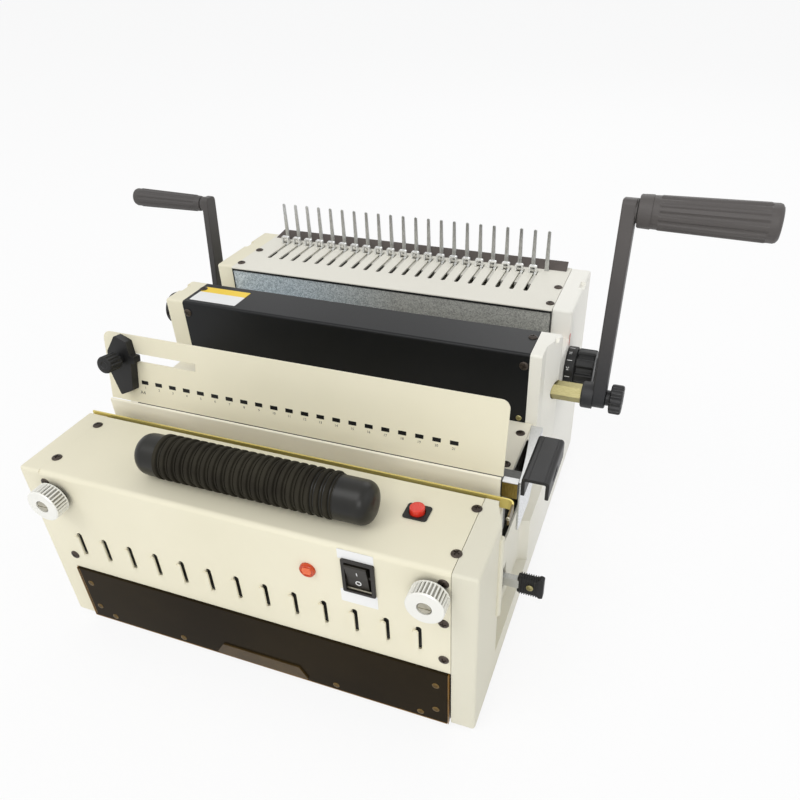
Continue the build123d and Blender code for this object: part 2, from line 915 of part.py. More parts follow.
# Rocker switch: housing and rocker
switch_depth = 20
rocker_width = 17
rocker_half = 11.6
rocker_clear = 0.5
rocker_proud = 4.2
rocker_dip = 2.6
rocker_back = 5
rocker_tilt = 9
rocker_pivot_y = 2
trunnion_radius = 1.5
trunnion_reach = 1
cavity_depth = 15
cavity_half = math.hypot(rocker_half, rocker_proud) + rocker_clear
trunnion_half = rocker_width / 2 + rocker_clear + trunnion_reach
with BuildPart() as switch_housing:
    bar(
        (switch_x - switch_width / 2, switch_x + switch_width / 2),
        (-switch_lip, 0),
        (switch_z - switch_height / 2, switch_z + switch_height / 2),
    )
    bar(
        (switch_x - switch_body_width / 2, switch_x + switch_body_width / 2),
        (0, switch_depth),
        (switch_z - switch_body_height / 2, switch_z + switch_body_height / 2),
    )
    bar(
        (switch_x - rocker_width / 2 - rocker_clear, switch_x + rocker_width / 2 + rocker_clear),
        (-switch_lip, cavity_depth),
        (switch_z - cavity_half, switch_z + cavity_half),
        Mode.SUBTRACT,
    )
    peg(
        side(switch_x - trunnion_half - gap),
        (rocker_pivot_y, switch_z),
        trunnion_radius + gap,
        2 * (trunnion_half + gap),
        Mode.SUBTRACT,
    )
switch_housing.part.label = "switch_housing"
export_step(switch_housing.part, "parts/switch_housing.step")

rocker_plane = Plane(
    origin=(middle_x + switch_x - rocker_width / 2, front_y + rocker_pivot_y, switch_z),
    x_dir=(0, math.cos(math.radians(rocker_tilt)), math.sin(math.radians(rocker_tilt))),
    z_dir=(1, 0, 0),
)
with BuildPart() as rocker:
    plate(
        rocker_plane,
        [
            (rocker_back, -rocker_half / 2),
            (-rocker_proud, -rocker_half),
            (-rocker_dip, 0),
            (-rocker_proud, rocker_half),
            (rocker_back, rocker_half / 2),
        ],
        rocker_width,
    )
    rod(side(switch_x - trunnion_half), (rocker_pivot_y, switch_z), trunnion_radius, 2 * trunnion_half)
rocker.part.label = "rocker"
export_step(rocker.part, "parts/rocker.step")

# Start button in its bezel on the top panel
bezel_width = 18.7
bezel_depth = 16.4
bezel_proud = 1.2
cap_radius = 5.8
cap_rise = 6.4
cap_drop = 3.6
barrel_drop = 10.6
cap_top = front_height + cap_rise
cap_bottom = front_height - cap_drop
button_travel = 3
barrel_bottom = front_height - barrel_drop
with BuildPart() as button_bezel:
    bar(
        (button_x - bezel_width / 2, button_x + bezel_width / 2),
        (button_y - bezel_depth / 2, button_y + bezel_depth / 2),
        (front_height, front_height + bezel_proud),
    )
    bar(
        (button_x - button_barrel / 2 + gap, button_x + button_barrel / 2 - gap),
        (button_y - button_barrel / 2 + gap, button_y + button_barrel / 2 - gap),
        (barrel_bottom, front_height),
    )
    peg(
        level(cap_bottom - button_travel - gap),
        (button_x, button_y),
        cap_radius + 2 * gap,
        front_height + bezel_proud - cap_bottom + button_travel + gap,
        Mode.SUBTRACT,
    )
button_bezel.part.label = "button_bezel"
export_step(button_bezel.part, "parts/button_bezel.step")

cap_edge = 1
with BuildPart() as start_button:
    peg(level(cap_bottom), (button_x, button_y), cap_radius, cap_top - cap_bottom)
    chamfer(start_button.edges().group_by(Axis.Z)[-1], length=cap_edge)
start_button.part.label = "start_button"
export_step(start_button.part, "parts/start_button.step")

# Front knobs that set how far the wire closer moves, each with its threaded stud
knob_radius = 14.2
knob_neck_radius = 7
knob_neck = 7
knob_ribs = 30
knob_rib_cut = 1
knob_recess_radius = 5.6
knob_recess = 1.4
stud_depth = 28


def front_knob(x):
    """Ribbed knob and its stud, both turning about an axis along Y."""
    rod(front(stud_depth), (x, knob_z), stud_radius, stud_depth + knob_neck)
    peg(front(-gap), (x, knob_z), knob_neck_radius, knob_neck - gap)
    plate(
        front(-knob_neck),
        ribbed_corners((x, knob_z), knob_ribs, knob_radius, knob_radius - knob_rib_cut, knurl_land_share),
        front_knob_reach - knob_neck,
    )
    peg(front(-front_knob_reach), (x, knob_z), knob_recess_radius, -knob_recess, Mode.SUBTRACT)


with BuildPart() as left_closer_knob:
    front_knob(-knob_x)
left_closer_knob.part.label = "left_closer_knob"
export_step(left_closer_knob.part, "parts/left_closer_knob.step")

with BuildPart() as right_closer_knob:
    front_knob(knob_x)
right_closer_knob.part.label = "right_closer_knob"
export_step(right_closer_knob.part, "parts/right_closer_knob.step")

# Wire closer: the shaft with its two cams pushes the platen across the trough
closer_travel = 12
closer_turn = 90
closer_cam_x = 110
cam_width = 10
closer_cam_reach = 16
cam_hub = 12
with BuildPart() as closer_shaft:
    rod(side(-frame_outer), (closer_axis_y, closer_axis_z), shaft_radius, 2 * frame_outer)
    for x in (-closer_cam_x, closer_cam_x):
        cam(
            x - cam_width / 2,
            cam_width,
            (closer_axis_y, closer_axis_z),
            cam_hub,
            cam_points(closer_cam_reach, closer_travel, closer_turn, 0),
        )
closer_shaft.part.label = "closer_shaft"
export_step(closer_shaft.part, "parts/closer_shaft.step")

platen_thickness = 3
platen_seam = 0.5
platen_front = front_depth + platen_seam
platen_back = platen_front + platen_thickness
platen_rise = 0.4
platen_top = front_height + platen_rise
platen_strip_height = 10
platen_inset = 6
platen_half = frame_half - platen_inset
platen_left = deck_left
platen_bar_front = 68
platen_bar_drop = 21
platen_bar_low = platen_top - platen_bar_drop
platen_lap = 1
platen_arm_gap = 1.5
platen_arm_x = half_width + platen_arm_gap
platen_arm_end = 65
platen_bend = 12
lug_width = 14
lug_thickness = 8
lug_drop = 13
lug_low = closer_axis_z - lug_drop
lug_front = closer_axis_y + closer_cam_reach + gap
with BuildPart() as closer_platen:
    with BuildSketch(level(platen_top - platen_strip_height)) as strip_plan:
        with BuildLine():
            Polyline(
                (platen_left, platen_front),
                (platen_left, platen_back),
                (platen_arm_x + platen_thickness, platen_back),
                (platen_arm_x + platen_thickness, platen_arm_end),
                (platen_arm_x, platen_arm_end),
                (platen_arm_x, platen_front),
                close=True,
            )
        make_face()
        outer_bend = strip_plan.vertices().group_by(Axis.Y)[-1].sort_by(Axis.X)[-1]
        fillet(outer_bend, radius=platen_bend)
        inner_bend = strip_plan.vertices().group_by(Axis.Y)[-2].sort_by(Axis.X)[-1]
        fillet(inner_bend, radius=platen_bend - platen_thickness)
    extrude(strip_plan.sketch, amount=platen_strip_height)
    bar(
        (-platen_half, platen_half),
        (platen_bar_front, platen_back - platen_lap),
        (platen_bar_low, platen_top - platen_strip_height + platen_lap),
    )
    for x in (-closer_cam_x, closer_cam_x):
        bar(
            (x - lug_width / 2, x + lug_width / 2),
            (lug_front, lug_front + lug_thickness),
            (lug_low, platen_bar_low + sheet),
        )
closer_platen.part.label = "closer_platen"
export_step(closer_platen.part, "parts/closer_platen.step")

# Side frames that carry the shafts
frame_front = 10
frame_front_back = 64
frame_front_drop = 11.6
frame_front_top = front_height - frame_front_drop
shelf_drop = 48.8
shelf_under = deck_height - shelf_drop
frame_rise_y = 196
frame_tower_front = 214
frame_tower_back = 253
frame_tower_drop = 9.4
frame_rear_drop = 34.4
frame_tower_top = tower_height - frame_tower_drop
frame_rear_top = tower_height - frame_rear_drop
frame_back_inset = 8
frame_back = rear_back - frame_back_inset
lever_notch = 20
with BuildPart() as frame_plates:
    for x, bores in (
        (-frame_outer, ((depth_axis_y, depth_axis_z, dial_shaft_radius),)),
        (frame_inner, ((dial_axis_y, dial_axis_z, dial_shaft_radius),)),
    ):
        plate(
            side(x),
            [
                (frame_front, base_top),
                (frame_front, frame_front_top),
                (frame_front_back, frame_front_top),
                (frame_front_back, shelf_under),
                (frame_rise_y, shelf_under),
                (frame_rise_y, deck_under - 2 * gap),
                (frame_tower_front, deck_under - 2 * gap),
                (frame_tower_front, frame_tower_top),
                (frame_tower_back, frame_tower_top),
                (frame_tower_back, frame_rear_top),
                (frame_back, frame_rear_top),
                (frame_back, base_top),
            ],
            frame_thickness,
        )
        for y, z in (
            (closer_axis_y, closer_axis_z),
            (punch_axis_y, punch_axis_z),
            (comb_axis_y, comb_axis_z),
        ):
            peg(side(x), (y, z), shaft_radius + gap, frame_thickness, Mode.SUBTRACT)
        for y, z, radius in bores:
            peg(side(x), (y, z), radius + gap, frame_thickness, Mode.SUBTRACT)
    bar(
        (frame_inner, frame_outer),
        (lever_slot_front, lever_slot_back),
        (shelf_under - lever_notch, shelf_under),
        Mode.SUBTRACT,
    )
frame_plates.part.label = "frame_plates"
export_step(frame_plates.part, "parts/frame_plates.step")

# Shelf that the die slides on, with the ram's guides
shelf_thickness = 4
shelf_top = shelf_under + shelf_thickness
shelf_front = 92
shelf_back = 194
ram_arm_x = 124
ram_arm_width = 10
ram_rise = 24
ram_height = 18
ram_low = shelf_under + ram_rise
ram_high = ram_low + ram_height
ram_front = 134.8
guide_rail_width = 16
guide_rail_front = 146
with BuildPart() as die_shelf:
    bar((-frame_outer, frame_outer), (shelf_front, shelf_back), (shelf_under, shelf_top))
    for x in (-ram_arm_x, ram_arm_x):
        bar(
            (x - guide_rail_width / 2, x + guide_rail_width / 2),
            (guide_rail_front, shelf_back),
            (shelf_top, ram_low - gap),
        )
die_shelf.part.label = "die_shelf"
export_step(die_shelf.part, "parts/die_shelf.step")

# Chute that drops the punched chips into the drawer
chute_top_y = 126
chute_neck = 2
chute_top_z = shelf_under - chute_neck
chute_low_y = 104
chute_low_rise = 1.5
chute_low_z = drawer_top + chute_low_rise
chute_right_inset = 30
with BuildPart() as chip_chute:
    plate(
        side(-frame_inner),
        [
            (chute_low_y, chute_low_z),
            (chute_top_y, chute_top_z),
            (chute_top_y, shelf_under),
            (chute_top_y + sheet, shelf_under),
            (chute_top_y + sheet, chute_top_z),
            (chute_low_y + sheet, chute_low_z),
        ],
        2 * frame_inner - chute_right_inset,
    )
chip_chute.part.label = "chip_chute"
export_step(chip_chute.part, "parts/chip_chute.step")

# Die: two plates either side of the paper slit, with a hole for each pin
pin_width = 7.9
pin_height = 2.9
pin_clear = 0.15
pin_rise = 35
pin_z = shelf_under + pin_rise
die_left_inset = 3
die_left = die_left_inset - frame_inner
die_low = shelf_top + gap
die_high_rise = 16.2
die_high = deck_height + die_high_rise
die_front = 97
die_front_drop = 7.3
die_front_top = deck_height - die_front_drop
slit_front = 105.9
slit_back = 106.7
die_back = 121
die_web_top = ram_low
die_end_left = deck_right
die_end_inset = 0.5
die_end_right = half_width - die_end_inset
die_end_rise = 2.2
die_end_low = deck_height + die_end_rise
latch_left_gap = 3
latch_width = 6
latch_left = frame_outer + latch_left_gap
latch_right = latch_left + latch_width
latch_notch_clear = 3
latch_notch_height = 4
lever_front = 112
lever_back = 118
with BuildPart() as die_block:
    plate(
        side(die_left),
        [
            (die_front, die_low),
            (die_front, die_front_top),
            (slit_front, die_front_top),
            (slit_front, die_web_top),
            (slit_back, die_web_top),
            (slit_back, die_high),
            (die_back, die_high),
            (die_back, die_low),
        ],
        die_end_left - die_left,
    )
    bar((die_end_left, die_end_right), (bar_face, die_back), (die_end_low, die_high))
    with BuildSketch(front(die_front)) as pin_holes:
        for index in range(hole_count):
            with Locations((comb_x(index), pin_z)):
                Rectangle(pin_width + 2 * pin_clear, pin_height + 2 * pin_clear)
    extrude(pin_holes.sketch, amount=die_front - die_back, mode=Mode.SUBTRACT)
    bar(
        (latch_left - latch_notch_clear, latch_right + gap),
        (lever_front - 2 * gap, lever_back + 2 * gap),
        (die_low, die_low + latch_notch_height),
        Mode.SUBTRACT,
    )
die_block.part.label = "die_block"
export_step(die_block.part, "parts/die_block.step")

# Row of punch pins on their common bar
pin_tip = 108.6
pin_root = 130.5
pin_bar_inset = 12
pin_bar_half = frame_half - pin_bar_inset
pin_bar_thickness = 4
pin_bar_half_height = 5
with BuildPart() as punch_pins:
    with BuildSketch(front(pin_root)) as pin_faces:
        for index in range(hole_count):
            with Locations((comb_x(index), pin_z)):
                Rectangle(pin_width, pin_height)
    extrude(pin_faces.sketch, amount=pin_root - pin_tip)
    bar(
        (-pin_bar_half, pin_bar_half),
        (pin_root, pin_root + pin_bar_thickness),
        (pin_z - pin_bar_half_height, pin_z + pin_bar_half_height),
    )
punch_pins.part.label = "punch_pins"
export_step(punch_pins.part, "parts/punch_pins.step")

# Stainless bracket at the die's right end
bracket_thickness = 1.8
bracket_back = 185
bracket_front = 107
bracket_drop = 32.8
bracket_low = deck_height - bracket_drop
bracket_flange_inset = 9.2
bracket_flange_left = half_width - bracket_flange_inset
bracket_flange_front_gap = 2
bracket_flange_front = die_back + bracket_flange_front_gap
bracket_inner = die_end_right
bracket_outer = bracket_inner + bracket_thickness
with BuildPart() as die_bracket:
    plate(
        side(bracket_inner),
        [
            (bracket_front, bracket_low),
            (bracket_front, die_high),
            (bracket_back, die_high),
            (bracket_back, die_end_low),
            (bracket_front + (bracket_back - bracket_front) / 2, bracket_low),
        ],
        bracket_thickness,
    )
    with BuildSketch(level(die_high - bracket_thickness)) as flange:
        with BuildLine():
            flange_edge = ThreePointArc(
                (bracket_inner - bracket_thickness, bracket_flange_front),
                (
                    (bracket_inner + bracket_flange_left) / 2 - bracket_thickness,
                    (bracket_flange_front + bracket_back) / 2,
                ),
                (bracket_flange_left, bracket_back),
            )
            Polyline(
                flange_edge @ 1,
                (bracket_inner, bracket_back),
                (bracket_inner, bracket_flange_front),
                flange_edge @ 0,
            )
        make_face()
    extrude(flange.sketch, amount=bracket_thickness)
die_bracket.part.label = "die_bracket"
export_step(die_bracket.part, "parts/die_bracket.step")

# Black channel handle that draws the die out
handle_left = bracket_outer
handle_reach = 22.9
handle_right = half_width + handle_reach
handle_front = 107
handle_back = 166.4
handle_top_rise = 21.2
handle_low_rise = 4.2
handle_top = deck_height + handle_top_rise
handle_low = deck_height + handle_low_rise
handle_wall = 3
handle_bend = 2
with BuildPart() as die_handle:
    plate(
        front(handle_front),
        [
            (handle_left, handle_low),
            (handle_left, handle_top),
            (handle_right, handle_top),
            (handle_right, handle_low),
            (handle_right - handle_wall, handle_low),
            (handle_right - handle_wall, handle_top - handle_wall),
            (handle_left + handle_wall, handle_top - handle_wall),
            (handle_left + handle_wall, handle_low),
        ],
        handle_front - handle_back,
    )
    long_edges = die_handle.edges().filter_by(Axis.Y).group_by(Axis.Z)[-1]
    chamfer(long_edges.sort_by(Axis.X)[-1], length=handle_bend)
die_handle.part.label = "die_handle"
export_step(die_handle.part, "parts/die_handle.step")

# Ram between the shaft's cams and the pins
ram_inset = 10
ram_half = frame_half - ram_inset
ram_depth = 8
punch_travel = 9
punch_turn = 75
punch_cam_reach = 16
post_depth = 8
post_rise = 18
post_top = punch_axis_z + post_rise
post_back = punch_axis_y - punch_cam_reach - gap
with BuildPart() as punch_ram:
    bar((-ram_half, ram_half), (ram_front, ram_front + ram_depth), (ram_low, ram_high))
    for x in (-ram_arm_x, ram_arm_x):
        plate(
            side(x - ram_arm_width / 2),
            [
                (ram_front + ram_depth, ram_low),
                (post_back, ram_low),
                (post_back, post_top),
                (post_back - post_depth, post_top),
                (post_back - post_depth, ram_high),
                (ram_front + ram_depth, ram_high),
            ],
            ram_arm_width,
        )
punch_ram.part.label = "punch_ram"
export_step(punch_ram.part, "parts/punch_ram.step")

# Punch shaft with its two cams and the hexagon end for the crank
hex_across = 15
hex_start = frame_outer
with BuildPart() as punch_shaft:
    rod(side(-frame_outer), (punch_axis_y, punch_axis_z), shaft_radius, 2 * frame_outer)
    with BuildSketch(side(hex_start)) as hexagon:
        with Locations((punch_axis_y, punch_axis_z)):
            RegularPolygon(hex_across / 2, 6, major_radius=False)
    extrude(hexagon.sketch, amount=right_arm_x - hex_start)
    for x in (-ram_arm_x, ram_arm_x):
        cam(
            x - cam_width / 2,
            cam_width,
            (punch_axis_y, punch_axis_z),
            cam_hub,
            cam_points(punch_cam_reach, punch_travel, punch_turn, 180),
        )
punch_shaft.part.label = "punch_shaft"
export_step(punch_shaft.part, "parts/punch_shaft.step")

# Gear on the punch shaft, the motor's pinion below it, and the geared motor
gear_module = 2
gear_teeth = 22
pinion_teeth = 12
gear_x = 60
gear_width = 10
gear_centre_distance = (gear_teeth + pinion_teeth) * gear_module / 2
pinion_z = punch_axis_z - gear_centre_distance
pinion_shaft_radius = 5
pinion_phase = 90 + 180 / pinion_teeth
with BuildPart() as drive_gear:
    plate(
        side(gear_x),
        gear_corners(gear_teeth, gear_module, (punch_axis_y, punch_axis_z), -90),
        gear_width,
    )
    peg(side(gear_x), (punch_axis_y, punch_axis_z), shaft_radius + gap, gear_width, Mode.SUBTRACT)
drive_gear.part.label = "drive_gear"
export_step(drive_gear.part, "parts/drive_gear.step")

gearbox_left = -10
gearbox_right = 46
gearbox_half = 24
gearbox_rise = 22
gearbox_drop = 40
pinion_overhang = 2
with BuildPart() as drive_pinion:
    plate(
        side(gear_x),
        gear_corners(pinion_teeth, gear_module, (punch_axis_y, pinion_z), pinion_phase),
        gear_width + pinion_overhang,
    )
    rod(
        side(gearbox_right - gearbox_half),
        (punch_axis_y, pinion_z),
        pinion_shaft_radius,
        gear_x - gearbox_right + gearbox_half,
    )
drive_pinion.part.label = "drive_pinion"
export_step(drive_pinion.part, "parts/drive_pinion.step")

with BuildPart() as gearbox:
    bar(
        (gearbox_left, gearbox_right),
        (punch_axis_y - gearbox_half, punch_axis_y + gearbox_half),
        (pinion_z - gearbox_drop, pinion_z + gearbox_rise),
    )
    bar(
        (gearbox_left + sheet, gearbox_right - sheet),
        (punch_axis_y - gearbox_half + sheet, punch_axis_y + gearbox_half - sheet),
        (base_top, pinion_z - gearbox_drop),
    )
    peg(
        side(gearbox_right - gearbox_half - gap),
        (punch_axis_y, pinion_z),
        pinion_shaft_radius + gap,
        gearbox_half + gap,
        Mode.SUBTRACT,
    )
gearbox.part.label = "gearbox"
export_step(gearbox.part, "parts/gearbox.step")

motor_radius = 27
motor_length = 107
motor_drop = 10
with BuildPart() as motor:
    peg(
        side(gearbox_left - motor_length),
        (punch_axis_y, pinion_z - motor_drop),
        motor_radius,
        motor_length,
    )
motor.part.label = "motor"
export_step(motor.part, "parts/motor.step")

# Right crank: arm with its collar, turning grip and thumb knob
right_crank_lean = 12
right_crank_length = 161
right_arm_root = 10
right_arm_tip = 8.5
collar_length = 11.5
collar_left = right_arm_x - collar_length
collar_radius = 12
boss_radius = 11
lean = math.radians(right_crank_lean)
right_tip_y = punch_axis_y + right_crank_length * math.sin(lean)
right_tip_z = punch_axis_z + right_crank_length * math.cos(lean)
spindle_radius = 4


def crank_arm(x, thickness, centre, tip, root_half, tip_half):
    """Flat tapering arm with round ends."""
    length = math.hypot(tip[0] - centre[0], tip[1] - centre[1])
    across = ((tip[1] - centre[1]) / length, -(tip[0] - centre[0]) / length)
    with BuildSketch(side(x)) as arm:
        with Locations(centre):
            RegularPolygon(root_half, round_sides)
        with Locations(tip):
            RegularPolygon(tip_half, round_sides)
        with BuildLine():
            Polyline(
                (centre[0] + across[0] * root_half, centre[1] + across[1] * root_half),
                (tip[0] + across[0] * tip_half, tip[1] + across[1] * tip_half),
                (tip[0] - across[0] * tip_half, tip[1] - across[1] * tip_half),
                (centre[0] - across[0] * root_half, centre[1] - across[1] * root_half),
                close=True,
            )
        make_face()
    extrude(arm.sketch, amount=thickness)


with BuildPart() as right_crank_arm:
    crank_arm(
        right_arm_x,
        right_arm_thickness,
        (punch_axis_y, punch_axis_z),
        (right_tip_y, right_tip_z),
        right_arm_root,
        right_arm_tip,
    )
    peg(side(collar_left), (punch_axis_y, punch_axis_z), collar_radius, collar_length)
    with BuildSketch(side(collar_left)) as socket:
        with Locations((punch_axis_y, punch_axis_z)):
            RegularPolygon(hex_across / 2, 6, major_radius=False)
    extrude(socket.sketch, amount=collar_length, mode=Mode.SUBTRACT)
    peg(
        side(right_arm_x + right_arm_thickness),
        (right_tip_y, right_tip_z),
        boss_radius,
        right_boss_width - gap,
    )
    peg(
        side(right_arm_x + right_arm_thickness),
        (right_tip_y, right_tip_z),
        spindle_radius,
        right_boss_width + right_grip_length / 2,
    )
right_crank_arm.part.label = "right_crank_arm"
export_step(right_crank_arm.part, "parts/right_crank_arm.step")

grip_flutes = 12
grip_flute_depth = 1.1
grip_land_share = 0.55
grip_end_drop = 1.6
grip_step_share = 0.07


def crank_grip(start, length, centre, near_radius, far_radius, reach_sign):
    """Tapered grip with lengthwise flutes and drawn-in ends, bored for its spindle."""
    step = length * grip_step_share
    sections = []
    for along, radius in (
        (0, near_radius - grip_end_drop),
        (step, near_radius),
        (length - step, far_radius),
        (length, far_radius - grip_end_drop),
    ):
        corners = ribbed_corners(centre, grip_flutes, radius, radius - grip_flute_depth, grip_land_share)
        with BuildSketch(side(start + reach_sign * along)) as section:
            with BuildLine():
                Polyline(*corners, close=True)
            make_face()
        sections.append(section.sketch.face())
    loft(sections, ruled=True)
    bore_start = start if reach_sign > 0 else start - length / 2 - gap
    rod(side(bore_start), centre, spindle_radius + gap, length / 2 + gap, Mode.SUBTRACT)


right_grip_start = right_arm_x + right_arm_thickness + right_boss_width
right_grip_near = 13.5
right_grip_far = 16
with BuildPart() as right_crank_grip:
    crank_grip(
        right_grip_start,
        right_grip_length,
        (right_tip_y, right_tip_z),
        right_grip_near,
        right_grip_far,
        1,
    )
right_crank_grip.part.label = "right_crank_grip"
export_step(right_crank_grip.part, "parts/right_crank_grip.step")

thumb_start = right_arm_x + right_arm_thickness + gap
thumb_neck = 3
thumb_neck_radius = 7
thumb_length = 11.5
thumb_radius = 13.5
thumb_lobes = 7
thumb_lobe_cut = 2.4
thumb_land_share = 0.5
with BuildPart() as crank_thumb_knob:
    rod(side(thumb_start), (punch_axis_y, punch_axis_z), thumb_neck_radius, thumb_neck)
    plate(
        side(thumb_start + thumb_neck),
        ribbed_corners(
            (punch_axis_y, punch_axis_z),
            thumb_lobes,
            thumb_radius,
            thumb_radius - thumb_lobe_cut,
            thumb_land_share,
        ),
        thumb_length,
    )
crank_thumb_knob.part.label = "crank_thumb_knob"
export_step(crank_thumb_knob.part, "parts/crank_thumb_knob.step")

# Comb opener: the left crank turns two pinions that drive the hook carriage
comb_module = 2
comb_teeth = 20
comb_pinion_inset = 28
comb_pinion_x = frame_half - comb_pinion_inset
comb_pinion_width = 10
comb_pitch_radius = comb_teeth * comb_module / 2
with BuildPart() as comb_shaft:
    rod(side(-left_arm_x), (comb_axis_y, comb_axis_z), shaft_radius, left_arm_x + frame_outer)
    for x in (-comb_pinion_x, comb_pinion_x):
        plate(
            side(x - comb_pinion_width / 2),
            gear_corners(comb_teeth, comb_module, (comb_axis_y, comb_axis_z), 90),
            comb_pinion_width,
        )
comb_shaft.part.label = "comb_shaft"
export_step(comb_shaft.part, "parts/comb_shaft.step")

left_crank_lean = 5.5
left_crank_length = 115
left_arm_root = 9
left_arm_tip = 8
left_boss_radius = 8
left_lean = math.radians(left_crank_lean)
left_tip_y = comb_axis_y + left_crank_length * math.sin(left_lean)
left_tip_z = comb_axis_z + left_crank_length * math.cos(left_lean)
with BuildPart() as left_crank_arm:
    crank_arm(
        -left_arm_x - left_arm_thickness,
        left_arm_thickness,
        (comb_axis_y, comb_axis_z),
        (left_tip_y, left_tip_z),
        left_arm_root,
        left_arm_tip,
    )
    peg(
        side(-left_arm_x - left_arm_thickness - left_boss_width + gap),
        (left_tip_y, left_tip_z),
        left_boss_radius,
        left_boss_width - gap,
    )
    peg(
        side(-left_arm_x - left_arm_thickness - left_boss_width - left_grip_length / 2),
        (left_tip_y, left_tip_z),
        spindle_radius,
        left_boss_width + left_grip_length / 2,
    )
left_crank_arm.part.label = "left_crank_arm"
export_step(left_crank_arm.part, "parts/left_crank_arm.step")

left_grip_start = -left_arm_x - left_arm_thickness - left_boss_width
left_grip_near = 8.5
left_grip_far = 9.8
with BuildPart() as left_crank_grip:
    crank_grip(
        left_grip_start,
        left_grip_length,
        (left_tip_y, left_tip_z),
        left_grip_near,
        left_grip_far,
        -1,
    )
left_crank_grip.part.label = "left_crank_grip"
export_step(left_crank_grip.part, "parts/left_crank_grip.step")

# Hook carriage: a plate on two rails with a rack over each pinion
carriage_drop = 23.4
carriage_low = tower_height - carriage_drop
carriage_thickness = 5
carriage_front = 368
carriage_back = 392
carriage_inset = 6
carriage_half = frame_half - carriage_inset
rail_low = frame_rear_top
rail_width = 18
rail_inner = frame_outer - rail_width
rail_front = 322
rack_width = 12
rack_pitch = math.pi * comb_module
rack_line = comb_axis_z + comb_pitch_radius
rack_tip = rack_line - addendum_share * comb_module
rack_root = rack_line + dedendum_share * comb_module
rack_front_teeth = 1
rack_back_teeth = 8
rack_bar_top = valley_height - sheet - comb_module
rack_post_front = 346
with BuildPart() as carriage_rails:
    for x in (-frame_outer, rail_inner):
        bar((x, x + rail_width), (rail_front, frame_back), (rail_low, carriage_low - gap))
carriage_rails.part.label = "carriage_rails"
export_step(carriage_rails.part, "parts/carriage_rails.step")

rack_corners = []
for tooth in range(-rack_front_teeth, rack_back_teeth + 1):
    space_middle = comb_axis_y + tooth * rack_pitch
    for share, height in (
        (root_half_share, rack_root),
        (1 / 2 - tip_half_share, rack_tip),
        (1 / 2 + tip_half_share, rack_tip),
        (1 - root_half_share, rack_root),
    ):
        rack_corners.append((space_middle + share * rack_pitch, height))
rack_back = comb_axis_y + (rack_back_teeth + 1) * rack_pitch
rack_front = comb_axis_y - (rack_front_teeth + 1 / 2) * rack_pitch
with BuildPart() as hook_carriage:
    bar(
        (-carriage_half, carriage_half),
        (carriage_front, carriage_back),
        (carriage_low, carriage_low + carriage_thickness),
    )
    for x in (-comb_pinion_x, comb_pinion_x):
        plate(
            side(x - rack_width / 2),
            [(rack_front, rack_root)]
            + rack_corners
            + [
                (rack_back, rack_root),
                (rack_back, carriage_low + carriage_thickness),
                (rack_post_front, carriage_low + carriage_thickness),
                (rack_post_front, rack_bar_top),
                (rack_front, rack_bar_top),
            ],
            rack_width,
        )
hook_carriage.part.label = "hook_carriage"
export_step(hook_carriage.part, "parts/hook_carriage.step")

# Hooks that pull the comb's rings open, one in each slot
hook_width = 2.6
hook_front = 375.5
hook_back = 381.5
hook_rise = 7.6
hook_top = tower_height + hook_rise
hook_bar = 3
hook_nose_back = 387
hook_reach = 7
with BuildPart() as comb_hooks:
    for index in range(hole_count):
        x = comb_x(index)
        plate(
            side(x - hook_width / 2),
            [
                (hook_front, carriage_low + carriage_thickness),
                (hook_front, hook_top - hook_bar),
                (hook_front + hook_bar, hook_top),
                (hook_back, hook_top),
                (hook_back, carriage_low + carriage_thickness),
            ],
            hook_width,
        )
        bar(
            (x - hook_reach, x + hook_width / 2),
            (hook_front + hook_bar, hook_nose_back),
            (hook_top - sheet, hook_top),
        )
comb_hooks.part.label = "comb_hooks"
export_step(comb_hooks.part, "parts/comb_hooks.step")

# Dial on the right side and adjusting knob on the left side
dial_radius = 20
dial_band = 12
dial_length = 27
dial_grips = 8
dial_grip_cut = 3.2
dial_grip_step = 1
dial_land_share = 0.5
with BuildPart() as size_dial:
    peg(side(half_width + gap), (dial_axis_y, dial_axis_z), dial_radius, dial_band)
    plate(
        side(half_width + gap + dial_band),
        ribbed_corners(
            (dial_axis_y, dial_axis_z),
            dial_grips,
            dial_radius - dial_grip_step,
            dial_radius - dial_grip_cut,
            dial_land_share,
        ),
        dial_length - dial_band,
    )
    rod(
        side(frame_inner),
        (dial_axis_y, dial_axis_z),
        dial_shaft_radius,
        half_width + gap - frame_inner,
    )
size_dial.part.label = "size_dial"
export_step(size_dial.part, "parts/size_dial.step")

depth_knob_radius = 19
depth_knob_length = 14
depth_knob_grips = 9
with BuildPart() as depth_knob:
    plate(
        side(-half_width - gap),
        ribbed_corners(
            (depth_axis_y, depth_axis_z),
            depth_knob_grips,
            depth_knob_radius,
            depth_knob_radius - dial_grip_cut,
            dial_land_share,
        ),
        -depth_knob_length,
    )
    rod(
        side(-half_width - gap),
        (depth_axis_y, depth_axis_z),
        dial_shaft_radius,
        half_width + gap - frame_inner,
    )
depth_knob.part.label = "depth_knob"
export_step(depth_knob.part, "parts/depth_knob.step")

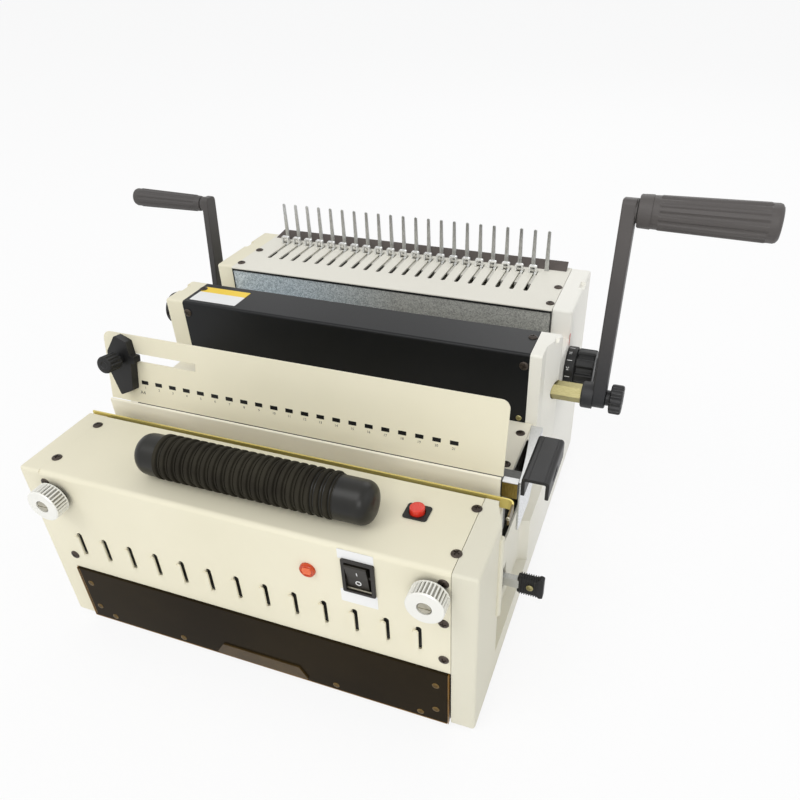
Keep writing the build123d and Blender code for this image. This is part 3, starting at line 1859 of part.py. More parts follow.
# Chip drawer: smoked front, tray and the screws between them
drawer_front_face = -2
drawer_front_thickness = 4
drawer_low = 4.6
drawer_seam = 0.6
drawer_side_gap = 1
drawer_half = panel_half - drawer_side_gap
tab_low = 10
tab_high = 21.5
tab_low_left = -39.5
tab_low_right = 40.7
tab_high_left = -30.5
tab_high_right = 48.8
tab_proud = 1.5
tray_half = frame_inner - drawer_side_gap
tray_wall = 2
tray_back = 100
tray_drop = 8.5
tray_top = drawer_top - tray_drop
tray_low = base_top + gap
drawer_back_face = drawer_front_face + drawer_front_thickness
with BuildPart() as drawer_front:
    bar(
        (-drawer_half, drawer_half),
        (drawer_front_face, drawer_back_face),
        (drawer_low, drawer_top - drawer_seam),
    )
    plate(
        front(drawer_front_face),
        [
            (tab_low_left, tab_low),
            (tab_low_right, tab_low),
            (tab_high_right, tab_high),
            (tab_high_left, tab_high),
        ],
        tab_proud,
    )
drawer_front.part.label = "drawer_front"
export_step(drawer_front.part, "parts/drawer_front.step")

with BuildPart() as drawer_tray:
    bar((-tray_half, tray_half), (drawer_back_face, tray_back), (tray_low, tray_top))
    bar(
        (tray_wall - tray_half, tray_half - tray_wall),
        (drawer_back_face + tray_wall, tray_back - tray_wall),
        (tray_low + tray_wall, tray_top),
        Mode.SUBTRACT,
    )
drawer_tray.part.label = "drawer_tray"
export_step(drawer_tray.part, "parts/drawer_tray.step")

drawer_screw_inset = 10.2
drawer_screw_x = drawer_half - drawer_screw_inset
drawer_screw_heights = (20, 49.7)
floor_screw_x = (-147, -73.8, 74.3, 148)
floor_screw_z = 11
drawer_screw_radius = 3
drawer_screw_head = 1.5
screw_sides = 12
with BuildPart() as drawer_screws:
    with BuildSketch(front(drawer_front_face)) as drawer_heads:
        with Locations(
            *[(x, z) for x in (-drawer_screw_x, drawer_screw_x) for z in drawer_screw_heights],
            *[(x, floor_screw_z) for x in floor_screw_x],
        ):
            RegularPolygon(drawer_screw_radius, screw_sides)
    extrude(drawer_heads.sketch, amount=drawer_screw_head)
drawer_screws.part.label = "drawer_screws"
export_step(drawer_screws.part, "parts/drawer_screws.step")

# Lever that locks the die: it hangs from two ears under the shelf, and when it is
# lifted, its latch rises into the notch under the die
lock_pivot_inset = 16
lock_pivot_x = frame_half - lock_pivot_inset
lock_pivot_drop = 10
lock_pivot_z = shelf_under - lock_pivot_drop
lock_pin_radius = 4
lever_half_height = 5
lever_arm_z = 56
lever_reach = 5
lever_outer = half_width + lever_reach
ear_thickness = 4
ear_half = 9
ear_web = 1.5
latch_play = 1.8
latch_top = die_low - latch_play
lever_boss_radius = 8
with BuildPart() as lock_bracket:
    for y in (lever_front - gap - ear_thickness, lever_back + gap):
        bar(
            (lock_pivot_x - ear_half, lock_pivot_x + ear_half),
            (y, y + ear_thickness),
            (lock_pivot_z - ear_half, shelf_under),
        )
    bar(
        (lock_pivot_x - ear_half, lock_pivot_x + ear_half),
        (lever_front - gap, lever_back + gap),
        (shelf_under - ear_web, shelf_under),
    )
    peg(
        front(lever_back + gap + ear_thickness),
        (lock_pivot_x, lock_pivot_z),
        lock_pin_radius,
        lever_back - lever_front + 2 * (gap + ear_thickness),
    )
lock_bracket.part.label = "lock_bracket"
export_step(lock_bracket.part, "parts/lock_bracket.step")

with BuildPart() as die_lock_lever:
    peg(front(lever_back), (lock_pivot_x, lock_pivot_z), lever_boss_radius, lever_back - lever_front)
    plate(
        front(lever_back),
        [
            (lock_pivot_x, lock_pivot_z - lever_half_height),
            (latch_left, lock_pivot_z - lever_half_height),
            (latch_left, lever_arm_z - lever_half_height),
            (lever_outer, lever_arm_z - lever_half_height),
            (lever_outer, lever_arm_z + lever_half_height),
            (latch_right, lever_arm_z + lever_half_height),
            (latch_right, latch_top),
            (latch_left, latch_top),
            (latch_left, lock_pivot_z + lever_half_height),
            (lock_pivot_x, lock_pivot_z + lever_half_height),
        ],
        lever_back - lever_front,
    )
    rod(
        front(lever_back),
        (lock_pivot_x, lock_pivot_z),
        lock_pin_radius + gap,
        lever_back - lever_front,
        Mode.SUBTRACT,
    )
die_lock_lever.part.label = "die_lock_lever"
export_step(die_lock_lever.part, "parts/die_lock_lever.step")

lock_grip_length = 21
lock_grip_outer = lever_outer + lock_grip_length
lock_grip_half_height = 12
lock_grip_taper = 3
with BuildPart() as die_lock_grip:
    plate(
        front(lever_back),
        [
            (lever_outer, lever_arm_z - lock_grip_half_height + lock_grip_taper),
            (lock_grip_outer - lock_grip_taper, lever_arm_z - lock_grip_half_height),
            (lock_grip_outer, lever_arm_z - lock_grip_half_height + lock_grip_taper),
            (lock_grip_outer, lever_arm_z + lock_grip_half_height - lock_grip_taper),
            (lock_grip_outer - lock_grip_taper, lever_arm_z + lock_grip_half_height),
            (lever_outer, lever_arm_z + lock_grip_half_height - lock_grip_taper),
        ],
        lever_back - lever_front,
    )
die_lock_grip.part.label = "die_lock_grip"
export_step(die_lock_grip.part, "parts/die_lock_grip.step")

# Screw heads on the covers, counted from the covers' edges
screw_radius = 4.2
screw_head = 1.6
top_screw_inset = 2.2
front_left_screw_inset = 3.9
front_right_screw_inset = 5.2
rear_screw_inset = 4.2
deck_screw_front_inset = 7.3
deck_screw_back_inset = 6.4
deck_screw_front_gap = 64.2
deck_screw_back_gap = 17.6
top_screw_front = 19
top_screw_back_gap = 15.5
front_screw_high_drop = 10.6
front_screw_middle_drop = 50.6
front_screw_low_rise = 14.7
tower_screw_gap = 15
tower_face_screw_drop = 11.4
rear_screw_front_gap = 11
rear_screw_back_gap = 49
top_screw_x = panel_half - top_screw_inset
front_left_screw_x = panel_half - front_left_screw_inset
front_right_screw_x = panel_half - front_right_screw_inset
rear_screw_x = panel_half - rear_screw_inset
top_screw_back = front_depth - top_screw_back_gap
front_screw_high = front_height - front_screw_high_drop
front_screw_middle = front_height - front_screw_middle_drop
front_screw_low = drawer_top + front_screw_low_rise
tower_screw_y = tower_back - tower_screw_gap
tower_face_screw_z = tower_height - tower_face_screw_drop
rear_screw_front = rear_front + rear_screw_front_gap
rear_screw_back = rear_front + rear_screw_back_gap
top_screws = [(x, y) for x in (-top_screw_x, top_screw_x) for y in (top_screw_front, top_screw_back)]
front_screws = [
    (-front_left_screw_x, front_screw_high),
    (-front_left_screw_x, front_screw_low),
    (front_right_screw_x, front_screw_high),
    (front_right_screw_x, front_screw_middle),
    (front_right_screw_x, front_screw_low),
]
deck_screws = [
    (deck_right - deck_screw_back_inset, tower_front - deck_screw_back_gap),
    (deck_right - deck_screw_front_inset, tower_front - deck_screw_front_gap),
]
tower_screws = [(-rear_screw_x, tower_screw_y), (rear_screw_x, tower_screw_y)]
tower_face_screws = [(-rear_screw_x, tower_face_screw_z), (rear_screw_x, tower_face_screw_z)]
rear_deck_screws = [
    (x, y) for x in (-rear_screw_x, rear_screw_x) for y in (rear_screw_front, rear_screw_back)
]
with BuildPart() as cover_screws:
    for plane, places in (
        (level(front_height), top_screws),
        (front(0), front_screws),
        (level(deck_height), deck_screws),
        (level(tower_height), tower_screws + rear_deck_screws),
        (front(tower_front), tower_face_screws),
    ):
        with BuildSketch(plane) as heads:
            with Locations(*places):
                RegularPolygon(screw_radius, screw_sides)
        extrude(heads.sketch, amount=screw_head)
cover_screws.part.label = "cover_screws"
export_step(cover_screws.part, "parts/cover_screws.step")
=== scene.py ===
"""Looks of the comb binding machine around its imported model.

Metres, in the row frame: the length runs along X, the front faces -Y and the floor is at zero.
"""
from math import atan2, copysign, cos, pi, radians, sin, tan

import bmesh
import bpy
from mathutils import Matrix, Vector


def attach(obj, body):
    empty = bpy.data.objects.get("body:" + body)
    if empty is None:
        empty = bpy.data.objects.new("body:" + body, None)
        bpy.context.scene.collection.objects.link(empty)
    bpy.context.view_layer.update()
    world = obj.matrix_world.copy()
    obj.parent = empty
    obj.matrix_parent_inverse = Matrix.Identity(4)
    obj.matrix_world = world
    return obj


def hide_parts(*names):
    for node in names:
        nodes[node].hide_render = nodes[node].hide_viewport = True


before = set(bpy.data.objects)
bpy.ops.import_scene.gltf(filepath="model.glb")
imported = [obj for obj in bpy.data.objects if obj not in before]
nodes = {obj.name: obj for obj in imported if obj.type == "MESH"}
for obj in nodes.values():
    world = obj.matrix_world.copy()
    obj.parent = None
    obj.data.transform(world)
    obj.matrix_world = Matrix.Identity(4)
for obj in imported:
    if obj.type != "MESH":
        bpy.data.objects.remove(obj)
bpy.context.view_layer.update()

MM = 0.001
# The model's own X and Y of the machine's middle and front face
MIDDLE = -18 * MM
FRONT = -192 * MM
SHADER = "Principled BSDF"

# Materials, by name
paints = {}


def srgb(red, green, blue):
    """A colour as read on a screen, 0 to 255, as the linear colour that shaders take."""
    def linear(share):
        if share <= 0.04045:
            return share / 12.92
        return ((share + 0.055) / 1.055) ** 2.4
    return (linear(red / 255), linear(green / 255), linear(blue / 255), 1.0)


def material(name, **sockets):
    """A new material with these sockets set on its Principled shader."""
    made = bpy.data.materials.new(name)
    made.use_nodes = True
    for socket, value in sockets.items():
        made.node_tree.nodes[SHADER].inputs[socket.replace("_", " ")].default_value = value
    paints[name] = made
    return made


def node(owner, kind, links=None, **settings):
    """A new node in a material or world, with its settings and the links into its sockets."""
    tree = owner.node_tree
    new = tree.nodes.new("ShaderNode" + kind)
    for key, value in settings.items():
        if key in new.bl_rna.properties:
            setattr(new, key, value)
        else:
            new.inputs[key.replace("_", " ")].default_value = value
    for socket, source in (links or {}).items():
        tree.links.new(source, new.inputs[socket])
    return new


def position(made):
    return node(made, "TexCoord").outputs["Object"]


def noise(made, scale, detail=2.0, stretch=None):
    """Noise with about this many cells a metre, stretched along the axes by the shares given."""
    vector = position(made)
    if stretch:
        vector = node(made, "Mapping", {"Vector": vector}, Scale=stretch).outputs["Vector"]
    return node(made, "TexNoise", {"Vector": vector}, Scale=scale, Detail=detail).outputs["Fac"]


def ramp(made, factor, first, last, start=0.35, end=0.65):
    """A colour that runs from the first to the last as a factor goes from start to end."""
    stops = node(made, "ValToRGB", {"Fac": factor})
    for element, spot, colour in zip(stops.color_ramp.elements, (start, end), (first, last)):
        element.position = spot
        element.color = srgb(*colour)
    return stops.outputs["Color"]


def along_axis(made, axis, low, high):
    """0 to 1 between two places on an axis, in metres."""
    spot = node(made, "SeparateXYZ", {"Vector": position(made)}).outputs[axis]
    return node(made, "MapRange", {"Value": spot}, From_Min=low, From_Max=high).outputs["Result"]


def set_input(made, socket, source):
    made.node_tree.links.new(source, made.node_tree.nodes[SHADER].inputs[socket])


def skin(made, factor, low, high, strength=0.0, depth=0.0):
    """Roughness between two values and a relief, both from one factor."""
    spread = node(made, "MapRange", {"Value": factor}, To_Min=low, To_Max=high)
    set_input(made, "Roughness", spread.outputs["Result"])
    if depth:
        relief = node(made, "Bump", {"Height": factor}, Strength=strength, Distance=depth)
        set_input(made, "Normal", relief.outputs["Normal"])


def powder_coat(name, light, dark, low, high, specular=0.5, metallic=0.0):
    """Satin powder coat: slow changes of tint and a fine orange peel."""
    made = material(name, Specular_IOR_Level=specular, Metallic=metallic)
    set_input(made, "Base Color", ramp(made, noise(made, scale=7, detail=4), dark, light))
    skin(made, noise(made, scale=900), low, high, strength=0.25, depth=0.12 * MM)


def brushed(name, light, dark, stretch, low, high, grain=300):
    """Metal with a grain that runs along the axis whose stretch is smallest."""
    made = material(name, Metallic=1.0)
    lines = noise(made, grain, 3, stretch)
    set_input(made, "Base Color", ramp(made, lines, dark, light, start=0.3, end=0.7))
    skin(made, lines, low, high, strength=0.15, depth=0.05 * MM)


def moulded(name, light, dark, low, high, specular=0.5, grain=1500, coat=0.0):
    """Moulded plastic or rubber with a fine texture."""
    made = material(name, Specular_IOR_Level=specular, Coat_Weight=coat)
    set_input(made, "Base Color", ramp(made, noise(made, scale=40, detail=3), dark, light))
    skin(made, noise(made, grain), low, high, strength=0.3, depth=0.1 * MM)


# Light and dark tint, lowest and highest roughness, specular level, metallic share
POWDER_COATS = {
    "cream_paint": ((234, 228, 204), (229, 223, 198), 0.42, 0.55, 0.3),
    # Cream of the right side cover, which darkens towards the front as painted shade
    "white_cream": ((243, 241, 232), (222, 218, 199), 0.45, 0.58, 0.3),
    "deck_cream": ((231, 228, 216), (226, 223, 211), 0.45, 0.58, 0.3),
    # Cream made brighter for the middle deck and the bar in front of the die, to offset their shade: painted
    # light
    "deck_bright": ((245, 240, 223), (241, 236, 217), 0.45, 0.58, 0.3),
    "black_paint": ((24, 25, 27), (18, 19, 20), 0.3, 0.42, 0.22),
    "dark_strip": ((94, 87, 83), (84, 78, 74), 0.5, 0.65, 0.2),
    "screw_black": ((74, 64, 56), (56, 48, 42), 0.3, 0.5, 0.5, 0.5),
    "motor_paint": ((96, 100, 104), (80, 84, 88), 0.4, 0.6),
    "zinc_yellow": ((232, 216, 136), (214, 196, 112), 0.25, 0.4, 0.5, 0.45),
    "print_white": ((238, 238, 236), (232, 232, 230), 0.4, 0.5),
    "print_yellow": ((246, 210, 66), (240, 204, 60), 0.4, 0.5),
    "print_grey": ((76, 74, 68), (66, 64, 58), 0.5, 0.6),
    "print_red": ((206, 62, 44), (198, 56, 40), 0.4, 0.5),
    # Zinc in a dark brown tint for the closer's arm and the platen below the strip, which lie in shade:
    # painted shade
    "arm_brown": ((116, 100, 66), (96, 82, 52), 0.3, 0.45, 0.5, 0.6),
    "hook_steel": ((232, 232, 230), (206, 207, 206), 0.16, 0.28, 0.5, 0.55),
    # Steel made lighter for the hook bars sunk in the comb deck's slots: painted light
    "bar_steel": ((214, 212, 203), (204, 202, 193), 0.4, 0.55, 0.5, 0.2),
    "knob_white": ((240, 239, 232), (232, 231, 224), 0.25, 0.4, 0.5, 0.25),
}
# Light and dark tint, stretch of the grain, lowest and highest roughness, grains a metre
BRUSHED = {
    "steel": ((196, 196, 192), (160, 160, 156), (1, 8, 8), 0.25, 0.45),
    "stainless": ((226, 228, 230), (200, 202, 205), (8, 1, 8), 0.2, 0.35),
    "chrome": ((238, 239, 240), (224, 225, 227), (1, 1, 1), 0.06, 0.14, 60),
    "brass": ((178, 170, 128), (150, 142, 98), (1, 8, 8), 0.35, 0.55),
    "finger_steel": ((208, 209, 208), (168, 169, 168), (8, 8, 1), 0.25, 0.4),
    # Darker metal between the knobs' bright bars: painted shade in the grooves
    "knob_groove": ((150, 148, 140), (120, 118, 110), (1, 8, 1), 0.35, 0.5),
    "screw_grey": ((198, 194, 178), (168, 164, 148), (1, 1, 1), 0.28, 0.42, 200),
    "bracket_steel": ((214, 215, 214), (196, 197, 196), (8, 1, 8), 0.35, 0.5),
    "brass_block": ((158, 138, 78), (124, 106, 54), (8, 8, 1), 0.35, 0.5),
    "die_steel": ((92, 92, 90), (70, 70, 68), (1, 8, 8), 0.3, 0.45),
    "ghost_brass": ((128, 104, 62), (96, 78, 46), (1, 1, 1), 0.3, 0.45, 200),
}
# Light and dark tint, lowest and highest roughness, specular level, grains a metre, clear coat
MOULDED = {
    "black_plastic": ((34, 34, 34), (26, 26, 26), 0.36, 0.5, 0.3),
    "grip_rubber": ((50, 47, 38), (37, 34, 27), 0.6, 0.75, 0.1),
    "foot_rubber": ((44, 43, 42), (36, 35, 34), 0.7, 0.85),
    "red_plastic": ((226, 52, 34), (214, 44, 28), 0.2, 0.32, 0.5, 1500, 0.4),
    "grip_black": ((28, 27, 22), (20, 19, 16), 0.3, 0.42, 0.35),
    "switch_frame": ((40, 36, 32), (33, 30, 26), 0.3, 0.42, 0.35),
    "switch_black": ((44, 40, 33), (38, 34, 28), 0.3, 0.42, 0.3),
    "handle_black": ((30, 30, 30), (23, 23, 23), 0.36, 0.48, 0.4),
    "thumb_black": ((38, 38, 39), (29, 29, 30), 0.36, 0.48, 0.4),
    # Bright orange for the lens ribs: painted highlight
    "lamp_bright": ((250, 150, 104), (242, 120, 76), 0.15, 0.25),
    "amber_edge": ((150, 112, 54), (128, 94, 42), 0.2, 0.3, 0.3),
    "tab_brown": ((78, 61, 32), (66, 51, 26), 0.2, 0.3, 0.2),
    "crank_grey": ((82, 78, 76), (40, 41, 43), 0.42, 0.56, 0.35, 1100),
}
for make, rows in ((powder_coat, POWDER_COATS), (brushed, BRUSHED), (moulded, MOULDED)):
    for paint_name, row in rows.items():
        make(paint_name, *row)

# Paints that change from their dark to their light tint between two places on an axis. The right side cover's
# cream runs dark at the front to light at the rear, which is painted shade; crank_grey turns lighter towards
# the top.
SHIFTED = (("white_cream", POWDER_COATS, "Y", -0.13, 0.06), ("crank_grey", MOULDED, "Z", 0.17, 0.31))
for paint_name, rows, axis, low, high in SHIFTED:
    made = paints[paint_name]
    light, dark = rows[paint_name][:2]
    set_input(made, "Base Color", ramp(made, along_axis(made, axis, low, high), dark, light, 0.0, 1.0))

# Hot-dip zinc, bluish at the left and plain grey at the right: its dark and light tints
ZINC_LEFT = ((150, 162, 167), (216, 224, 227))
ZINC_RIGHT = ((142, 142, 137), (188, 188, 181))


def spangled():
    """Hot-dip zinc: flat crystals of slightly different grey."""
    made = material("galvanised", Metallic=0.3)
    cells = node(made, "TexVoronoi", {"Vector": position(made)}, Scale=900.0)
    shade = node(made, "SeparateColor", {"Color": cells.outputs["Color"]})
    grain = noise(made, scale=1500, detail=5)
    mixed = node(made, "Math", {0: shade.outputs["Red"], 1: grain}, operation="ADD").outputs[0]
    halved = node(made, "Math", {0: mixed}, operation="MULTIPLY")
    halved.inputs[1].default_value = 0.5
    left, right = (ramp(made, halved.outputs[0], *tints, 0.25, 0.7) for tints in (ZINC_LEFT, ZINC_RIGHT))
    share = along_axis(made, "X", -0.12, 0.0)
    blend = node(made, "MixRGB", {"Fac": share, "Color1": left, "Color2": right})
    set_input(made, "Base Color", blend.outputs["Color"])
    skin(made, shade.outputs["Green"], 0.4, 0.62)


def smoked():
    """Smoked acrylic, dark and polished."""
    made = material("smoked_acrylic", Specular_IOR_Level=0.03)
    cloud = noise(made, scale=9, detail=3)
    set_input(made, "Base Color", ramp(made, cloud, (33, 26, 15), (42, 34, 20), 0.3, 0.7))
    skin(made, noise(made, scale=60, detail=3), 0.16, 0.26)


def lens():
    """Orange lens with small facets."""
    made = material("amber_lens", Transmission_Weight=0.35, IOR=1.45)
    facets = node(made, "TexVoronoi", {"Vector": position(made)}, Scale=700.0).outputs["Distance"]
    set_input(made, "Base Color", ramp(made, facets, (246, 104, 48), (204, 50, 18), 0.0, 1.0))
    skin(made, facets, 0.1, 0.25)


spangled()
smoked()
lens()
for cad in nodes.values():
    for material_slot in cad.material_slots:
        material_slot.material = paints[material_slot.material.name.split(".")[0]]
nodes["die_block"].material_slots[0].material = paints["die_steel"]

# Mesh tools. Shapes are drawn in millimetres from the machine's middle, its front face and the table,
# and TO_ROW moves them at the end.
TO_ROW = Matrix.Translation((MIDDLE, FRONT, 0)) @ Matrix.Scale(MM, 4)
AXES = {
    "x": lambda u, v, w: (w, u, v),
    "y": lambda u, v, w: (u, w, v),
    "z": lambda u, v, w: (u, v, w),
}
# Vertices this close are one, in millimetres
WELD = 0.001


def soften(form, width, steps=2, least=25, choose=None):
    """Round the edges that turn by more than the least angle."""
    edges = [
        edge for edge in form.edges
        if len(edge.link_faces) == 2 and edge.calc_face_angle() > radians(least)
        and (choose is None or choose(edge))
    ]
    bmesh.ops.bevel(form, geom=edges, offset=width, segments=steps, profile=0.5, affect="EDGES",
                    clamp_overlap=True)
    return form


def joined(form, rings, closed=False):
    """A body from rings of vertices, with caps on its ends unless the last ring meets the first."""
    for one, other in zip(rings, rings[1:]):
        for side in range(max(len(one), len(other))):
            after = side + 1
            corners = (one[side % len(one)], one[after % len(one)],
                       other[after % len(other)], other[side % len(other)])
            corners = tuple(dict.fromkeys(corners))
            if len(corners) > 2:
                form.faces.new(corners)
    if closed:
        bmesh.ops.remove_doubles(form, verts=form.verts, dist=WELD / 10)
    else:
        for ring in (rings[0], rings[-1]):
            if len(ring) > 1:
                form.faces.new(ring)
    bmesh.ops.recalc_face_normals(form, faces=form.faces)
    return form


def prism(outline, low, high, axis="x", soft=0.0, steps=2, choose=None):
    """A straight body with this outline between two places along an axis."""
    form = bmesh.new()
    below, above = ([form.verts.new(AXES[axis](u, v, w)) for u, v in outline] for w in (low, high))
    form.faces.new(below)
    form.faces.new(above[::-1])
    for index in range(len(outline)):
        after = (index + 1) % len(outline)
        form.faces.new((below[index], above[index], above[after], below[after]))
    bmesh.ops.recalc_face_normals(form, faces=form.faces)
    return soften(form, soft, steps, choose=choose) if soft else form


def block(x, y, z, soft=0.0, steps=2):
    """A rectangular body between pairs of faces."""
    return prism([(x[0], y[0]), (x[1], y[0]), (x[1], y[1]), (x[0], y[1])], *z, "z", soft, steps)


def blocks(rows, soft=0.0):
    """Rectangular bodies, one for each row of three pairs of faces."""
    return [block(*row, soft) for row in rows]


def lathe(profile, centre, axis="x", sides=48, shape=None):
    """A body turned about an axis, from places along it and radii; shape changes the radius."""
    form = bmesh.new()
    at = AXES[axis]
    rings = []
    for along, radius in profile:
        if not radius:
            rings.append([form.verts.new(at(*centre, along))])
            continue
        ring = []
        for side in range(sides):
            turn = 2 * pi * side / sides
            reach = radius + (shape(turn, along) if shape else 0)
            u, v = centre[0] + reach * cos(turn), centre[1] + reach * sin(turn)
            ring.append(form.verts.new(at(u, v, along)))
        rings.append(ring)
    return joined(form, rings, closed=profile[0] == profile[-1])


def rod(radius, ends, centre, axis="x", sides=24):
    """A plain round rod between two places along its axis."""
    return lathe([(end, radius) for end in ends], centre, axis, sides)


def loft(sections):
    """A closed body through sections with the same number of points."""
    form = bmesh.new()
    return joined(form, [[form.verts.new(spot) for spot in section] for section in sections])


def rounded(corners, radius, steps=4):
    """A closed outline with rounded corners; one radius for all, or one for each corner."""
    radii = radius if isinstance(radius, (list, tuple)) else [radius] * len(corners)
    outline = []
    for index, bend in enumerate(radii):
        here = Vector(corners[index])
        if not bend:
            outline.append(tuple(here))
            continue
        before = (Vector(corners[index - 1]) - here).normalized()
        after = (Vector(corners[(index + 1) % len(corners)]) - here).normalized()
        half = before.angle(after) / 2
        centre = here + (before + after).normalized() * bend / sin(half)
        start = here + before * bend / tan(half) - centre
        end = here + after * bend / tan(half) - centre
        sweep = start.angle(end)
        for step in range(steps + 1):
            share = step / steps
            spot = start * sin((1 - share) * sweep) + end * sin(share * sweep)
            outline.append(tuple(centre + spot / sin(sweep)))
    return outline


def rectangle(u, v, radius, steps=4):
    """Outline of a rectangle with round corners between two pairs of sides."""
    return rounded([(u[0], v[0]), (u[1], v[0]), (u[1], v[1]), (u[0], v[1])], radius, steps)


def pill(left, right, low, high, steps=8):
    """Outline of an upright slot with round ends."""
    return rectangle((left, right), (low, high), (right - left) / 2 * 0.999, steps)


def merged(*forms):
    """Several bodies as one."""
    whole = bmesh.new()
    scratch = bpy.data.meshes.new("scratch")
    for form in forms:
        form.to_mesh(scratch)
        whole.from_mesh(scratch)
        form.free()
    bpy.data.meshes.remove(scratch)
    return whole


def shift(*spot):
    return Matrix.Translation(spot)


def copies(form, places):
    """Copies of a body, each moved to a place or by a matrix."""
    return merged(*[
        placed(form.copy(), spot if isinstance(spot, Matrix) else shift(*spot)) for spot in places])


def linked(name, data):
    """A new object in the scene."""
    made = bpy.data.objects.new(name, data)
    bpy.context.scene.collection.objects.link(made)
    return made


def shown(name, form):
    """A new object in the scene from a body, which is used up."""
    mesh = bpy.data.meshes.new(name)
    form.to_mesh(mesh)
    form.free()
    return linked(name, mesh)


def carved(form, *tools):
    """A body after others have been cut out of it."""
    holders = [shown("scratch", shape) for shape in (form, *tools)]
    for tool in holders[1:]:
        cut = holders[0].modifiers.new("cut", "BOOLEAN")
        cut.operation = "DIFFERENCE"
        cut.solver = "EXACT"
        cut.object = tool
    bpy.context.view_layer.update()
    seen = holders[0].evaluated_get(bpy.context.evaluated_depsgraph_get())
    mesh = bpy.data.meshes.new_from_object(seen)
    result = bmesh.new()
    result.from_mesh(mesh)
    bpy.data.meshes.remove(mesh)
    for holder in holders:
        left_over = holder.data
        bpy.data.objects.remove(holder)
        bpy.data.meshes.remove(left_over)
    bmesh.ops.remove_doubles(result, verts=result.verts, dist=WELD)
    bmesh.ops.dissolve_degenerate(result, edges=result.edges, dist=WELD)
    return result


def facing(origin, right, above):
    """A matrix that puts x along right and y along above, at an origin."""
    right, above = Vector(right).normalized(), Vector(above).normalized()
    turn = Matrix((right, above, right.cross(above))).transposed().to_4x4()
    return Matrix.Translation(origin) @ turn


def placed(form, matrix):
    bmesh.ops.transform(form, matrix=matrix, verts=form.verts)
    return form


def lettering(words, size, matrix, depth=0.05):
    """Raised numbers or marks in the plain built-in typeface."""
    curve = bpy.data.curves.new("words", "FONT")
    curve.body = words
    curve.size = size
    curve.extrude = depth
    curve.resolution_u = 3
    curve.align_x = "CENTER"
    curve.align_y = "CENTER"
    holder = bpy.data.objects.new("words", curve)
    mesh = bpy.data.meshes.new_from_object(holder)
    form = bmesh.new()
    form.from_mesh(mesh)
    bpy.data.objects.remove(holder)
    bpy.data.curves.remove(curve)
    bpy.data.meshes.remove(mesh)
    bmesh.ops.remove_doubles(form, verts=form.verts, dist=WELD / 2)
    return placed(form, matrix)


def piece(name, form, body, slot, *stands_for, paint=None, sharp=32):
    """An object from a body in millimetres, riding with a CAD body."""
    made = shown(name, placed(form, TO_ROW))
    mesh = made.data
    mesh.materials.append(paints[paint or slot])
    mesh.polygons.foreach_set("use_smooth", [True] * len(mesh.polygons))
    mesh.set_sharp_from_angle(angle=radians(sharp))
    weighted = made.modifiers.new("weighted", "WEIGHTED_NORMAL")
    weighted.keep_sharp = True
    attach(made, body)
    if stands_for:
        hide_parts(*stands_for)


def fixed(name, form, slot, *stands_for, **look):
    """A piece that stays with the housing."""
    piece(name, form, "housing", slot, *stands_for, **look)


def from_node(name):
    """The flat-sided solid of a CAD node, drawn again in millimetres."""
    form = bmesh.new()
    form.from_mesh(nodes[name].data)
    placed(form, TO_ROW.inverted())
    bmesh.ops.remove_doubles(form, verts=form.verts, dist=WELD)
    bmesh.ops.dissolve_limit(form, angle_limit=radians(1), verts=form.verts, edges=form.edges)
    return form


# Main places of the body, as in the CAD
HALF = 192
SHELL = 172.26
PANEL = 172.2
SHEET = 1.6
SEAM = 0.3
FOOT = 4
FRONT_TOP = 171.6
FRONT_BACK = 83
DECK = 154.8
TOWER = 223.4
TOWER_FRONT = 211
TOWER_BACK = 257
VALLEY = 195
REAR_FRONT = 302.5
REAR_BACK = 404
DRAWER_TOP = 66.5
HOLE_PITCH = 14.2875
HOLES = [-4.225 + (index - 10) * HOLE_PITCH for index in range(21)]

# Shafts, seen from the side: their place in depth and height
PUNCH_AXIS = (250, 170)
COMB_AXIS = (333, 158)
DIAL_AXIS = (296, 169)
DEPTH_AXIS = (233, 203)

# Side covers: their folds, the notches in the top edge, and the windows of the right one
FOLD = 2.6
NOTCH_PLACES = (240, 365)
NOTCH_REACH, NOTCH_LENGTH, NOTCH_DEPTH = 5, 8, 4
RECESS_FLOOR = HALF - 9
UPPER_RECESS = {"back": 229, "rim_back": 250, "low": 79, "high": 260}
LOWER_RECESS = {"back": 166, "rim_back": 166, "low": 31, "high": 79.5}
DIE_WINDOWS = [((160, 178.9), (96.4, 122.5), (104, 165)), ((179.3, 210), (96.4, 190), (104, 165))]
LEVER_WINDOW = [((160, 210), (109, 121), (47, 72))]
LEFT_CUT, RIGHT_CUT = (-200, -160), (160, 200)
BEAD = ((189.5, 194.6), (51.5, 58.5), (80, 161))


def cheek_outline(inset):
    """Side view of a side cover, drawn in on every edge."""
    step = DECK - SHEET - SEAM
    return [
        (inset, FOOT + inset), (inset, FRONT_TOP - inset), (FRONT_BACK - inset, FRONT_TOP - inset),
        (FRONT_BACK - inset, step - inset), (TOWER_FRONT + inset, step - inset),
        (TOWER_FRONT + inset, TOWER - inset), (TOWER_BACK - inset, TOWER - inset),
        (TOWER_BACK - inset, VALLEY - inset), (REAR_FRONT + inset, VALLEY - inset),
        (REAR_FRONT + inset, TOWER - inset), (REAR_BACK - inset, TOWER - inset),
        (REAR_BACK - inset, FOOT + inset),
    ]


def cheek_shell(inner, outer):
    """A side cover's outer skin, with soft folds away from its open side."""
    def folded(edge):
        return edge.is_convex and not all(abs(vert.co.x - inner) < 0.01 for vert in edge.verts)
    return prism(cheek_outline(0), min(inner, outer), max(inner, outer), "x", FOLD, 3, folded)


def notches(edge, spread=0.0):
    """The two shallow notches in a side cover's top edge, drawn larger by the spread."""
    reach, length = NOTCH_REACH + spread, NOTCH_LENGTH + spread
    return merged(*[
        block((edge - reach, edge + reach), (y - length, y + length),
              (TOWER - NOTCH_DEPTH - spread, TOWER + NOTCH_LENGTH), soft=1.5)
        for y in NOTCH_PLACES
    ])


